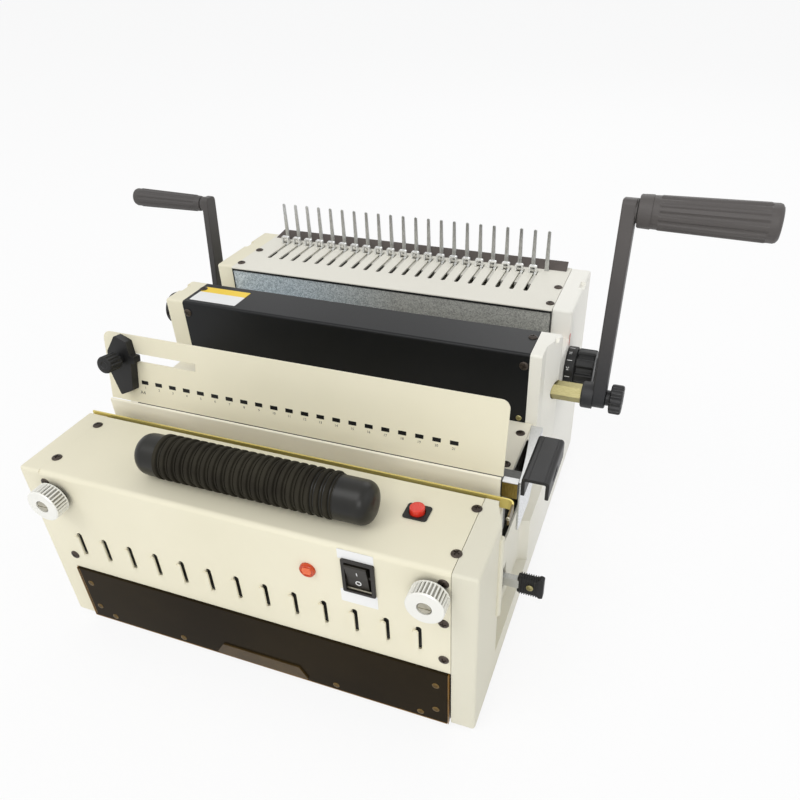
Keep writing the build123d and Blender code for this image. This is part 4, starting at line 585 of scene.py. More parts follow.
def recess(depth, back, rim_back, low, high):
    """A shallow room in the right side cover, whose ends rise in soft bends."""
    plan = rounded(
        [(HALF + 8, 50 - depth), (HALF + 0.2, 55.5 - depth), (RECESS_FLOOR - depth, 79 - depth),
         (RECESS_FLOOR - depth, back + depth), (HALF + 0.2, rim_back + 3 + depth),
         (HALF + 8, rim_back + 8 + depth)],
        [0, 12, 16, 3, 10, 0], steps=5)
    return prism(plan, low - depth, high, "z")


hollow = cheek_outline(SHEET)
fixed("cheek_left", carved(
    cheek_shell(-SHELL, -HALF),
    carved(prism(hollow, SHEET - HALF, SHEET - HALF + 40), notches(-HALF, spread=SHEET)),
    notches(-HALF),
    rod(8.3, LEFT_CUT, COMB_AXIS, sides=32),
    rod(4.3, LEFT_CUT, DEPTH_AXIS)), "cream_paint", "left_side_cover")
right_hollow = carved(
    prism(hollow, SHELL - 40, HALF - SHEET),
    recess(SHEET, **UPPER_RECESS),
    recess(SHEET, **LOWER_RECESS),
    notches(HALF, spread=SHEET))
# The right side cover and its bead take cream that darkens towards the front: painted shade
fixed("cheek_right", carved(
    cheek_shell(SHELL + 0.4, HALF),
    recess(0, **UPPER_RECESS),
    recess(0, **LOWER_RECESS),
    right_hollow,
    notches(HALF),
    *blocks(DIE_WINDOWS + LEVER_WINDOW),
    rod(9.2, RIGHT_CUT, PUNCH_AXIS, sides=32),
    rod(4.3, RIGHT_CUT, DIAL_AXIS)), "cream_paint", "right_side_cover", paint="white_cream")
fixed("cheek_bead", block(*BEAD, soft=1.8, steps=4), "cream_paint", paint="white_cream")

# Front cover: one sheet with a soft fold, windows for the switch and the button, and its louvres
TOP_BACK = 81
SWITCH_WINDOW = ((93.4, 115), (-3, 6), (131.2, 159.6))
BUTTON_WINDOW = ((122.9, 137.9), (42.2, 57.2), (165, 175))
LOUVRE_FIRST, LOUVRE_PITCH = -153.4, 25.2
LOUVRE_LOW, LOUVRE_HIGH = 85.5, 110
LOUVRES = [LOUVRE_FIRST + LOUVRE_PITCH * index for index in range(13)]
SKIRT = [(-6.2, 0.4), (-4.8, -2.2), (-3.6, -1.6), (-3.6, 0.4)]


def louvre_row(left, right, lower, upper, back, front, soft=0.0):
    """An upright pill at each louvre, its sides and ends given from the louvre's own place."""
    return [prism(pill(x + left, x + right, LOUVRE_LOW + lower, LOUVRE_HIGH + upper), back, front, "y", soft)
            for x in LOUVRES]


front_sheet = prism(rounded(
    [(0, DRAWER_TOP), (0, FRONT_TOP), (TOP_BACK, FRONT_TOP), (TOP_BACK, FRONT_TOP - SHEET),
     (SHEET, FRONT_TOP - SHEET), (SHEET, DRAWER_TOP)], [0, 4.2, 0.5, 0, 2.6, 0], 6), -PANEL, PANEL)
fixed("front_panel", carved(
    front_sheet, merged(*louvre_row(-3.4, 1.3, 0, 0, -3, 4)), block(*SWITCH_WINDOW), block(*BUTTON_WINDOW)),
    "cream_paint", "front_cover")
skirts = [prism([(x + u, v) for u, v in SKIRT], LOUVRE_LOW + 2.2, LOUVRE_HIGH - 4.6, "z", soft=0.2)
          for x in LOUVRES]
fixed("louvre_flaps", merged(*louvre_row(-4.9, -0.7, 0.4, -2.4, -2.6, -1.2, soft=0.5), *skirts),
      "cream_paint")
# A black sheet behind the louvre holes, where there is only shade: painted shade
fixed("louvre_painted_shade", merged(*louvre_row(-4.6, 1.8, -0.6, 0.6, SHEET + 0.1, SHEET + 0.6)), "black_plastic")

# Deck, black cover, galvanised plate, comb deck and rear cover
MIDDLE_DECK = ((-190, 179), (123, 210.7), (DECK - SHEET, DECK))
PLATE_TOP = TOWER - SHEET - 0.2
SLOT_HALF, SLOT_FRONT, SLOT_BACK = 2.3, 334.5, 384
# Black strips under the comb deck's front edge and down the plate's ends: painted shadow in the gaps
SHADOW_GAP_DEPTH, SHADOW_GAP_FOOT, SHADOW_GAP_WIDTH = (300.1, 301.2), 219.7, 0.9
VENTS = [-110 + 12 * index for index in range(9)]
INLET_WINDOW = ((106.5, 133.5), (395, 410), (32, 52))

# The middle deck takes a brighter cream: painted light against its shade
fixed("middle_deck", block(*MIDDLE_DECK, soft=0.5), "cream_paint", "mid_deck", paint="deck_bright")
channel = rounded(
    [(TOWER_FRONT, DECK), (TOWER_FRONT, TOWER), (TOWER_BACK, TOWER), (TOWER_BACK, VALLEY + SHEET),
     (TOWER_BACK - SHEET, VALLEY + SHEET), (TOWER_BACK - SHEET, TOWER - SHEET),
     (TOWER_FRONT + SHEET, TOWER - SHEET), (TOWER_FRONT + SHEET, DECK)],
    [0, 2.8, 2.8, 0, 0, 1.2, 1.2, 0], 5)
fixed("black_cover", prism(channel, -PANEL, PANEL), "black_paint", "punch_cover")
angle_plate = rounded(
    [(TOWER_BACK + SEAM, VALLEY - SHEET), (TOWER_BACK + SEAM, VALLEY), (REAR_FRONT - SHEET, VALLEY),
     (REAR_FRONT - SHEET, PLATE_TOP), (REAR_FRONT, PLATE_TOP), (REAR_FRONT, VALLEY - SHEET)],
    [0, 0, 2, 0, 0, 2.4], 5)
fixed("zinc_plate", prism(angle_plate, -PANEL, PANEL), "galvanised", "galvanised_plate")
table = rounded(
    [(REAR_BACK, TOWER), (299.9, TOWER), (299.9, TOWER - SHEET), (REAR_BACK, TOWER - SHEET)],
    [1.0, 0.7, 0.5, 0])
slots = []
for x in HOLES:
    slots.append(prism(pill(x - SLOT_HALF, x + SLOT_HALF, SLOT_FRONT, SLOT_BACK, 4), 215, 230, "z"))
    slots.append(block((x - 6.9, x + 2.2), (379.5, 386.6), (215, 230)))
fixed("comb_table", carved(prism(table, -PANEL, PANEL), *slots), "cream_paint", "comb_deck",
      paint="deck_cream")
# Black strips where the gaps are in shadow: painted shadow
fixed("plate_painted_shadow", merged(*blocks([
    ((-PANEL, PANEL), SHADOW_GAP_DEPTH, (SHADOW_GAP_FOOT, TOWER - SHEET)),
    ((-PANEL, SHADOW_GAP_WIDTH - PANEL), SHADOW_GAP_DEPTH, (VALLEY, SHADOW_GAP_FOOT)),
    ((PANEL - SHADOW_GAP_WIDTH, PANEL), SHADOW_GAP_DEPTH, (VALLEY, SHADOW_GAP_FOOT))], soft=0.2)), "black_plastic")
fixed("back_cover", carved(
    block((-PANEL, PANEL), (REAR_BACK - SHEET, REAR_BACK), (5.6, PLATE_TOP), soft=0.4), block(*INLET_WINDOW),
    *[prism(pill(x - 2, x + 2, 70, 110, 4), 395, 410, "y") for x in VENTS]), "cream_paint", "rear_cover")

# Comb fingers, the strip behind them, and the hooks with their bars
FINGERS = [HOLES[0] - 4.5 + index * HOLE_PITCH for index in range(22)]
BLADE = [(-2.35, 0), (-1.6, 42.1), (1.6, 42.1), (2.35, 0)]
BACK_STRIP = [(-169.6, 0), (-163, 12.2), (168.2, 12.2), (168.2, 0)]
LOOP = [(-7, 0.2), (-7, 8.4), (1.6, 8.4), (1.6, 0.2)]
LOOP_HOLE = [(-5.2, -1), (-5.2, 6.6), (-0.3, 6.6), (-0.3, -1)]
CARRIAGE_TOP = 205 - TOWER
STEM = ((-1.3, 1.3), (376.5, 381.4), (CARRIAGE_TOP, 1))
BAR = ((-2.05, 2.05), (356.5, 377), (CARRIAGE_TOP, -1.85))

blade = prism(rounded(BLADE, [0, 1.4, 1.4, 0]), -0.8, 0.8, "y", soft=0.4)
fixed("finger_row", copies(blade, [(x, 388.5, TOWER) for x in FINGERS]), "chrome", "comb_fingers",
      paint="finger_steel")
strip_turn = facing((0, 392.2, TOWER), (1, 0, 0), (0, 10, 7.3))
fixed("strip_behind", placed(prism(BACK_STRIP, -1.4, 0, "z", soft=0.35), strip_turn), "dark_strip",
      "comb_back_strip")
loop = carved(
    prism(rounded(LOOP, [0, 1.8, 1.8, 0]), 377.6, 381.4, "y"),
    prism(rounded(LOOP_HOLE, [0, 0.9, 0.9, 0]), 370, 390, "y"))
hook = merged(soften(loop, 0.3, least=40), block(*STEM, soft=0.3))
hook_places = [(x, 0, TOWER) for x in HOLES]
piece("hook_row", copies(hook, hook_places), "opener", "chrome", "comb_hooks", paint="hook_steel")
# The bars take a lighter steel than bare steel, to offset their shade in the slots: painted light
piece("hook_bars", copies(block(*BAR, soft=0.25), hook_places), "opener", "steel", paint="bar_steel")

# Bar in front of the die: its wall's ends in X and its foot, along the bar
WALL_FRONT, WALL_BACK, WALL_TOP, TROUGH = 104, 105.8, 174, 150
WALL_PARTS = [(-163.7, 163.7, TROUGH), (-186, -163.7, 154.9), (163.7, 178, 154.9)]
TROUGH_FLOOR = ((-163.7, 163.7), (90, 105.5), (148.4, TROUGH))
walls = [
    prism(rounded([(WALL_FRONT, foot), (WALL_FRONT, WALL_TOP), (WALL_BACK, WALL_TOP), (WALL_BACK, foot)],
                  [0, 1.3, 0.3, 0]), left, right)
    for left, right, foot in WALL_PARTS]
# The bar takes a brighter cream: painted light against its shade in the trough
fixed("closing_bar", merged(*walls, block(*TROUGH_FLOOR, soft=0.3)), "cream_paint", "die_bar",
      paint="deck_bright")

# Guide plate: it leans back and has windows over the holes, numbers and a slot. Heights are plumb.
PLATE_HEIGHT, PLATE_LEAN, WINDOW_HEIGHT, SLOT_HEIGHTS = 61.6, 11.6, 20, (38.7, 45.9)
PLATE_LEFT, PLATE_RIGHT = -185.5, 179.2
lean = atan2(PLATE_LEAN, PLATE_HEIGHT)
rise = 1 / cos(lean)
guide_turn = facing((0, 106.6, WALL_TOP), (1, 0, 0), (0, sin(lean), cos(lean)))


def window_row(half_width, half_height, depth, soft=0.0):
    """A small block at each window of the guide plate."""
    middle = WINDOW_HEIGHT * rise
    return [block((x - half_width, x + half_width), (middle - half_height, middle + half_height), depth, soft)
            for x in HOLES]


top = PLATE_HEIGHT * rise
plate_outline = rounded([(PLATE_LEFT, 0), (PLATE_LEFT, top), (PLATE_RIGHT, top), (PLATE_RIGHT, 0)],
                        [0, 7, 7, 0], 8)
guide_slot = block((-176, -92.8), [height * rise for height in SLOT_HEIGHTS], (-5, 5))
plate = carved(prism(plate_outline, -SHEET, 0, "z", soft=0.35), *window_row(3.5, 1, (-5, 5)), guide_slot)
fixed("paper_stop", placed(plate, guide_turn), "cream_paint", "guide_plate")
inlays = merged(*window_row(3.45, 1.75, (-1.0, 0.06), soft=0.02))
fixed("stop_windows", placed(inlays, guide_turn), "black_plastic", paint="black_paint")
fixed("stop_brackets", soften(from_node("guide_brackets"), 0.5), "cream_paint", "guide_brackets")
figures = [lettering(str(index + 1), 3.1, guide_turn @ shift(x, 15.4, 0.02)) for index, x in enumerate(HOLES)]
figures.append(lettering("A4", 4.6, guide_turn @ shift(-150.5, 10.4, 0.02)))
fixed("stop_numbers", merged(*figures), "black_paint", paint="print_grey")

# Edge guide and its knob, drawn around the pin in the guide plate's slot
STOP_OUTLINE = [(-3.7, 19.7), (7.6, 15.7), (10.2, 3.7), (14.6, 3.2), (14.6, -2.6), (10.4, -3.3), (9, -28.3),
                (-4, -34.3), (-13, -13.3), (-13, 4.7)]
STOP_ROUNDS = [1.5, 1.5, 0.5, 0.8, 0.8, 0.5, 1.5, 1.5, 2, 2]
STOP_KNOB = [(8.3, 4.5), (12.6, 4.5), (13.3, 5.6), (14.2, 7.2), (15.4, 7.6), (26.5, 7.6), (27.7, 7.2),
             (28.3, 6.2), (28.3, 3.4), (27.7, 2.6), (27.7, 0)]
ORIGIN = (0, 0)


def flutes(count, depth, start, end, steep=0.9, wide=0.5):
    """Grooves between two places along a turned body: how steep their sides are, and how wide."""
    def shape(turn, along):
        if not min(start, end) <= along <= max(start, end):
            return 0
        return -depth * max(0.0, min(1.0, wide - steep * cos(count * turn)))
    return shape


pin = guide_turn @ shift(-163, 42.3 * rise, 0)
piece("side_stop", placed(merged(
    prism(rounded(STOP_OUTLINE, STOP_ROUNDS, 3), 0.3, 8.3, "z", soft=0.9, steps=3),
    rod(3, (-1.9, 0.4), ORIGIN, "z"),
    rod(7, (-3.9, -1.9), ORIGIN, "z", sides=32)), pin), "paper_guide", "black_plastic", "edge_guide")
piece("side_stop_knob", placed(lathe(STOP_KNOB, ORIGIN, "z", 112, flutes(14, 1.0, 14.3, 27.5)), pin),
      "paper_guide_knob", "black_plastic", "edge_guide_knob")

# Hand grip: blunt round ends that reach down to the cover, and a ribbed sleeve
GRIP = (30, 189.6)
GRIP_RADIUS, GRIP_BLUNT, GRIP_POWER, GRIP_SINK = 16, 10, 0.62, 18 / 16
SLEEVE_LEFT, SLEEVE_RIGHT, RIBS = -68, 80.5, 21
# One rib and its groove: shares of the pitch, and radii
RIB = ((0.02, 15.9), (0.08, 17.4), (0.16, 17.75), (0.44, 17.75), (0.52, 17.4), (0.57, 15.9), (0.68, 15.8),
       (0.72, 16.5), (0.86, 16.5), (0.9, 15.8))


def dome(start, end):
    """An end of the hand grip, from inside the sleeve to its blunt tip."""
    inward = copysign(GRIP_BLUNT, start - end)
    stations = [(start, GRIP_RADIUS)]
    for angle in (0, 12, 24, 36, 48, 60, 70, 78, 84):
        turn = radians(angle)
        stations.append((end + inward * (1 - sin(turn)), GRIP_RADIUS * cos(turn) ** GRIP_POWER))
    sections = []
    for x, reach in stations:
        turns = [2 * pi * step / 32 for step in range(32)]
        sections.append([(x, GRIP[0] + reach * cos(turn),
                          GRIP[1] + reach * sin(turn) * (1 if turn < pi else GRIP_SINK)) for turn in turns])
    return loft(sections)


fixed("grip_ends", merged(dome(-60, -89.5), dome(60, 107.8), rod(9, (-73, 81), GRIP, sides=32)),
      "black_plastic", "handle_core", paint="grip_black", sharp=45)
pitch = (SLEEVE_RIGHT - SLEEVE_LEFT) / RIBS
rings = [(SLEEVE_LEFT + (rib + share) * pitch, radius) for rib in range(RIBS) for share, radius in RIB]
rings = [(SLEEVE_LEFT, 16.05)] + rings + [(SLEEVE_RIGHT, 16.05)]
fixed("grip_sleeve", lathe(rings, GRIP, sides=64), "grip_rubber", "handle_sleeve", sharp=50)

# Screws: button heads with a crossed recess
AHEAD = Matrix.Rotation(pi / 2, 4, "X")
LEVEL_SCREWS = [(x, y, FRONT_TOP) for x in (-170, 170) for y in (19, 67.5)]
LEVEL_SCREWS += [(172.6, 193.4, DECK), (171.7, 146.8, DECK), (-168, 242, TOWER), (168, 242, TOWER)]
LEVEL_SCREWS += [(x, y, TOWER) for x in (-168, 168) for y in (313.5, 351.5)]
UPRIGHT_SCREWS = [(-168.3, 0, 161), (-168.3, 0, 81), (167, 0, 161), (167, 0, 121), (167, 0, 81.3)]
UPRIGHT_SCREWS += [(-168, TOWER_FRONT, 212), (168, TOWER_FRONT, 212)]


def screw_form(radius, height, steps=6):
    """A screw's head on its seat, its axis upright."""
    profile = [(0, radius * 0.96), (height * 0.2, radius)]
    for step in range(1, steps):
        turn = pi / 2 * step / steps
        profile.append((height * (0.2 + 0.8 * sin(turn)), radius * cos(turn)))
    head = lathe(profile + [(height, 0)], ORIGIN, "z", 28)
    reach, arm = radius * 0.62, radius * 0.13
    depth = (height * 0.35, height * 2)
    length, width = (-reach, reach), (-arm, arm)
    return carved(head, block(length, width, depth), block(width, length, depth))


def screws(spots, upright, twist=0.4):
    """Matrices for screws on level faces, or on faces that look to the front."""
    turn = AHEAD if upright else Matrix.Identity(4)
    return [shift(*spot) @ turn @ Matrix.Rotation(twist * (index + 1), 4, "Z")
            for index, spot in enumerate(spots)]


fixed("cover_screw_heads", copies(
    screw_form(4.1, 1.7), screws(LEVEL_SCREWS, upright=False) + screws(UPRIGHT_SCREWS, upright=True)),
    "screw_black", "cover_screws")
fixed("brass_screw_head", copies(screw_form(2.7, 1.3), screws([(166.5, TOWER_FRONT, 158.6)], upright=True)),
      "brass")

# Pilot lamp
LAMP = (63.5, 140.4)
LENS = [(15, 5), (0, 5), (0, 6.2), (-1.2, 6.35), (-2.4, 6.0), (-3.0, 5.2), (-2.7, 4.4), (-2.0, 4.2),
        (-2.0, 0)]
# Heights and half widths of the ribs in the lens
LENS_RIBS = ((-2.6, 3.0), (-1.3, 3.7), (0, 4.0), (1.3, 3.7), (2.6, 3.0))
fixed("lamp_lens", lathe(LENS, LAMP, "y", 40), "amber_lens", "pilot_lamp")
# The lens ribs are real, and their brighter orange is painted highlight
fixed("lamp_ribs", merged(*[
    block((LAMP[0] - reach, LAMP[0] + reach), (-2.9, -2.0), (LAMP[1] + step - 0.4, LAMP[1] + step + 0.4), 0.2)
    for step, reach in LENS_RIBS]), "amber_lens", paint="lamp_bright")

# Rocker switch between two blank plates
SWITCH = (104.2, 145.4)
ROCKER = [(-9, -5), (-13.1, 3.4), (0, 2.9), (13.1, 3.4), (9, -5)]
RING = [(3.3, 1.6), (3.6, 1.6), (3.6, 2.3), (3.3, 2.3), (3.3, 1.6)]
SWITCH_PLATES = (((89, 116.5), (160.6, 169.4)), ((88.5, 117.5), (117, 130)))


def around_switch(half_width, half_height):
    """Pairs of sides in X and Z, counted from the switch's middle."""
    return [(middle - half, middle + half) for middle, half in zip(SWITCH, (half_width, half_height))]


def switch_block(half_width, half_height, depth, soft=0.0):
    x, z = around_switch(half_width, half_height)
    return block(x, depth, z, soft)


frame_form = prism(rectangle(*around_switch(12.8, 16), 1.5), -2, 0, "y", soft=0.6, steps=3)
fixed("switch_frame", carved(
    merged(frame_form, switch_block(10.7, 14.1, (-0.5, 20))), switch_block(10, 13.6, (-4, 15), soft=0.3)),
    "black_plastic", "switch_housing", paint="switch_frame")
tip = radians(9)
tilt = facing((SWITCH[0], 2, SWITCH[1]), (1, 0, 0), (0, -sin(tip), cos(tip)))
rocker_form = prism(rounded(ROCKER, [1, 0.9, 20, 0.9, 1]), -9.6, 7.2, "x", soft=0.4)
piece("switch_key", placed(merged(rocker_form, rod(1.5, (-10, 10), ORIGIN, sides=20)), tilt), "switch_rocker",
      "black_plastic", "rocker", paint="switch_black")
slope = atan2(0.7, 12.1)
on_mark = placed(block((-0.8, -0.2), (3.6, 7.2), (3.35, 3.6)),
                 Matrix.Rotation(slope, 4, "X") @ shift(0, 0, -0.5))
off_mark = placed(lathe(RING, (-0.6, 0), "z", 32), Matrix.Rotation(-slope, 4, "X") @ shift(0, -5.6, -0.5))
piece("switch_marks", placed(merged(on_mark, off_mark), tilt), "switch_rocker", "cream_paint",
      paint="print_white")
plates = [prism(rectangle(*sides, 0.6, 3), -0.25, 0.1, "y") for sides in SWITCH_PLATES]
fixed("switch_plates", merged(*plates), "cream_paint", paint="print_white")

# Start button
BUTTON = (130.4, 49.7)
BEZEL, BEZEL_RISE = ((121.05, 139.75), (41.5, 57.9)), 1.3
BEZEL_FOOT = ((123.2, 137.6), (42.5, 56.9), (161, FRONT_TOP + 0.2))
BUTTON_HEAD = [(168, 5.75), (176.7, 5.75), (177.4, 5.5), (177.8, 4.9), (177.9, 4.2), (177.75, 0)]
bezel = prism(rectangle(*BEZEL, 2.4), FRONT_TOP, FRONT_TOP + BEZEL_RISE, "z", soft=0.45, steps=3)
fixed("button_surround", carved(merged(bezel, block(*BEZEL_FOOT)), rod(6.4, (164, 180), BUTTON, "z", 40)),
      "black_plastic", "button_bezel")
piece("button_head", lathe(BUTTON_HEAD, BUTTON, "z"), "button_cap", "red_plastic", "start_button")

# Front knobs: separate bright bars around a grey core, a pale face, a slotted screw and a black ring behind.
# The core's darker grey between the bars is painted shade, and the black ring is painted shade in the gap to
# the panel.
KNOB_PLACE, KNOB_HEIGHT, KNOB_BARS = 159.3, 152, 30
KNOB_BAR = [(12.9, -0.75), (14.2, -0.45), (14.2, 0.45), (12.9, 0.75)]
KNOB_BACK = [(-4.6, 13.0), (-4.6, 13.9), (-5.2, 14.2), (-5.6, 13.2)]
KNOB_FACE = [(-16.2, 13.0), (-16.2, 14.0), (-16.8, 14.1), (-17.4, 13.4), (-17.5, 12.6), (-17.5, 5.6),
             (-16.2, 5.5), (-16.2, 13.0)]
KNOB_CORE = [(-4.9, 13.1), (-16.3, 13.1), (-16.3, 0)]
# Black ring between each knob and the panel: painted shade in the gap
KNOB_SHADE_RING = [(-0.4, 7), (-3.4, 7), (-3.4, 12.6), (-4.7, 13.0)]
KNOB_SCREW = [(-16.2, 4.9), (-16.9, 4.7), (-17.2, 4.1), (-17.2, 0)]

for side, sign in (("left", -1), ("right", 1)):
    x, body = sign * KNOB_PLACE, side + "_front_knob"
    centre = (x, KNOB_HEIGHT)
    bar = prism(rounded(KNOB_BAR, [0, 0.3, 0.3, 0], 2), -16.4, -4.9, "y")
    bars = copies(bar, [shift(x, 0, KNOB_HEIGHT) @ Matrix.Rotation(2 * pi * step / KNOB_BARS, 4, "Y")
                        for step in range(KNOB_BARS)])
    piece("front_knob_" + side, merged(
        lathe(KNOB_BACK, centre, "y", 96), lathe(KNOB_FACE, centre, "y", 96), bars), body, "chrome",
        side + "_closer_knob", paint="knob_white")
    # The grey core shows between the bars as painted shade
    piece("front_knob_core_" + side, merged(lathe(KNOB_CORE, centre, "y", 64), rod(4, (28, -6), centre, "y")),
          body, "chrome", paint="knob_groove")
    # The black ring is painted shade behind the knob
    piece("front_knob_ring_" + side, lathe(KNOB_SHADE_RING, centre, "y", 64), body, "black_plastic")
    groove = block((x - 6, x + 6), (-20, -16.6), (KNOB_HEIGHT - 0.45, KNOB_HEIGHT + 0.45))
    piece("front_knob_screw_" + side, carved(lathe(KNOB_SCREW, centre, "y", 32), groove), body, "steel",
          paint="screw_grey")

# Wire closer: a strip with a bent end on the platen, whose own top the strip replaces
STRIP_LEFT, STRIP_BEND, STRIP_FOOT = -190, (188.6, 80.4), 162.6
CLOSER_ARM = [(194.2, 80.4), (192.6, 80.4), (192.6, 68), (194.2, 68)]
PLATEN_CUTS = [((-220, 220), (40, 95), (STRIP_FOOT, 180)), ((161, 220), (40, 95), (140, 170))]


def quarter(radius):
    """A quarter turn about the bend at the strip's right end."""
    turns = [radians(angle) for angle in range(0, 91, 15)]
    return [(STRIP_BEND[0] + radius * sin(turn), STRIP_BEND[1] + radius * cos(turn)) for turn in turns]


strip = [(STRIP_LEFT, 86), (STRIP_LEFT, 84.4)] + quarter(4) + quarter(5.6)[::-1]
piece("closing_strip", prism(strip, STRIP_FOOT, 172, "z", soft=0.25), "closer", "zinc_yellow")
# The arm and the platen below the strip take the zinc in a darker tint: painted shade
piece("closing_arm", prism(CLOSER_ARM, 162, 171.9, "z", soft=0.25), "closer", "zinc_yellow",
      paint="arm_brown")
piece("closing_bar_below", soften(carved(from_node("closer_platen"), *blocks(PLATEN_CUTS)), 0.35), "closer",
      "zinc_yellow", "closer_platen", paint="arm_brown")
piece("closing_strip_screw", copies(screw_form(1.7, 1.0), [shift(193.4, 68, 168.4) @ AHEAD]), "closer",
      "steel", paint="screw_grey")

# The die's end, its bracket and the channel handle
DIE_FRONT = ((179.1, 191.4), (103.8, 106), (156.9, 171))
DIE_CAP = ((179.2, 191.3), (104.2, 110.4), (171, 172.2))
BRACKET_SIDE = [(107, 122), (107, 170.9), (185, 170.9), (185, 157), (146, 122)]
BRACKET_FRONT, BRACKET_BACK, BRACKET_RIGHT = 107, 185, 193.3
HANDLE = [(193.3, 159), (193.3, 176), (214.9, 176), (214.9, 159), (211.9, 159), (211.9, 173), (196.3, 173),
          (196.3, 159)]
HANDLE_LINES = [((198.2, 198.9), (100, 175), (175.4, 180)), ((210.6, 211.2), (100, 175), (175.4, 180))]

piece("die_front_plate", block(*DIE_FRONT, soft=0.3), "die", "brass", paint="brass_block")
piece("die_cap", block(*DIE_CAP, soft=0.4), "die", "cream_paint", paint="print_white")
piece("bracket_side", prism(rounded(BRACKET_SIDE, [1.5, 0.5, 2, 4, 10]), 191.5, BRACKET_RIGHT, "x", soft=0.4),
      "die", "stainless", "die_bracket")
curve = []
for step in range(13):
    share = step / 12
    inward = 8.5 * share ** 1.6 * (1.25 - 0.25 * share)
    curve.append((191.3 - inward, BRACKET_FRONT + (BRACKET_BACK - BRACKET_FRONT) * share))
curve += [(BRACKET_RIGHT, BRACKET_BACK), (BRACKET_RIGHT, BRACKET_FRONT)]
piece("bracket_top", prism(curve, 169.4, 171.2, "z", soft=0.3), "die", "stainless", paint="bracket_steel")
handle_bar = prism(rounded(HANDLE, [0.6, 2.6, 3.2, 0.8, 0.8, 1, 1, 0.6], 5), BRACKET_FRONT, 166.4, "y")
dent = placed(lathe([(214.0, 0), (214.2, 6), (216, 8)], ORIGIN, sides=32),
              shift(0, 131, 168) @ Matrix.Diagonal((1, 1.5, 0.6, 1)))
piece("pull_handle", carved(soften(handle_bar, 0.7, least=60), *blocks(HANDLE_LINES), dent), "die",
      "black_plastic", "die_handle", paint="handle_black")

# Lock lever's tab: a ribbed grip with a thicker end
TAB = [(195.4, 47), (212.5, 47), (214.5, 44.6), (218, 45.6), (218, 66.4), (214.5, 67.4), (212.5, 65),
       (195.4, 65)]
TAB_ROUNDS = [1.2, 2, 1.4, 1.4, 1.4, 1.4, 2, 1.2]
TAB_RIBS = [197.4 + 2.05 * step for step in range(8)]
tab = prism(rounded(TAB, TAB_ROUNDS, 3), 112, 118, "y", soft=0.7)
tab_ribs = blocks([((x, x + 1.0), (111.3, 118.7), (46.2, 65.8)) for x in TAB_RIBS], soft=0.3)
piece("lock_tab", merged(tab, *tab_ribs), "die_lock", "black_plastic", "die_lock_grip")
piece("lock_screw", copies(screw_form(3.2, 1.4), [shift(206.5, 111.3, 56) @ AHEAD]), "die_lock", "brass")
piece("lock_arm", soften(from_node("die_lock_lever"), 0.4), "die_lock", "stainless", "die_lock_lever",
      paint="bracket_steel")


# Cranks: tapering arms with turning grips

def swung(axis, length, angle):
    """The place at the end of an arm that leans back from its axis."""
    return (axis[0] + length * sin(radians(angle)), axis[1] + length * cos(radians(angle)))


def arm_form(centre, tip, root, end, sides, soft):
    """A tapering arm with rounded ends, between two sides."""
    along = (Vector(tip) - Vector(centre)).normalized()
    across = Vector((along.y, -along.x))
    corners = [
        Vector(centre) - along * root + across * root, Vector(tip) + along * end + across * end,
        Vector(tip) + along * end - across * end, Vector(centre) - along * root - across * root,
    ]
    radii = [root * 0.95, end * 0.55, end * 0.55, root * 0.95]
    outline = rounded([tuple(corner) for corner in corners], radii, 6)
    return prism(outline, *sides, "x", soft, 3)


def grip_form(start, length, centre, near, far, count, cut):
    """A tapered grip with raised lengthwise ridges between smooth ends."""
    def radius(share):
        return near + (far - near) * share
    stations = [(0, -2.2), (0.008, -1.0), (0.03, -0.5)]
    stations = [(share, radius(0) + less) for share, less in stations]
    stations += [(share, radius(share) + less) for share, less in (
        (0.075, -0.5), (0.085, 0), (0.3, 0), (0.6, 0), (0.9, 0), (0.915, -0.5), (0.965, -0.5))]
    stations += [(0.985, far - 1.2), (1, far - 3.2), (1, 0)]
    profile = [(start, 4.3)] + [(start + share * length, reach) for share, reach in stations]
    ridges = flutes(count, cut, start + 0.08 * length, start + 0.905 * length, wide=0.3)
    return lathe(profile, centre, "x", count * 10, ridges)


RIGHT_TIP = swung(PUNCH_AXIS, 161, 12)
HEXAGON = [(PUNCH_AXIS[0] + 8.66 * cos(radians(turn)), PUNCH_AXIS[1] + 8.66 * sin(radians(turn)))
           for turn in range(0, 360, 60)]
COLLAR = [(214.5, 10.6), (215.1, 11.6), (216.1, 12), (225, 12)]
RIGHT_BOSS = [(235, 9.8), (236.6, 9.8), (237.0, 9.2)]
GRIP_COLLAR = [(237.4, 9), (237.4, 12.4), (238.4, 13.2), (248, 13.6)]
THUMB_WHEEL = [(236.3, 7), (239.3, 7), (239.7, 11.6), (240.4, 13.1), (241.6, 13.5), (249, 13.5),
               (250.3, 12.9), (250.9, 11.4), (250.9, 5), (250.2, 4), (250.2, 0)]


def lobed(turn, along):
    """Nine lobes around the thumb knob, but not around its neck."""
    return -1.9 * (0.5 - 0.5 * cos(9 * turn)) ** 2 if along >= 239.6 else 0


right_arm = arm_form(PUNCH_AXIS, RIGHT_TIP, 10, 9.5, (224.2, 236), soft=1.5)
collar = carved(lathe(COLLAR, PUNCH_AXIS), prism(HEXAGON, 210, 224.6))
piece("right_arm", merged(right_arm, collar, lathe(RIGHT_BOSS, RIGHT_TIP), rod(4, (236, 296), RIGHT_TIP)),
      "punch_crank", "black_plastic", "right_crank_arm", paint="crank_grey")
piece("right_grip_body", merged(
    grip_form(246, 97, RIGHT_TIP, 13.6, 15.6, 12, 1.3), lathe(GRIP_COLLAR, RIGHT_TIP)),
      "right_grip", "black_plastic", "right_crank_grip", paint="crank_grey", sharp=40)
piece("thumb_wheel", lathe(THUMB_WHEEL, PUNCH_AXIS, "x", 108, lobed), "thumb_knob", "black_plastic",
      "crank_thumb_knob", paint="thumb_black", sharp=40)

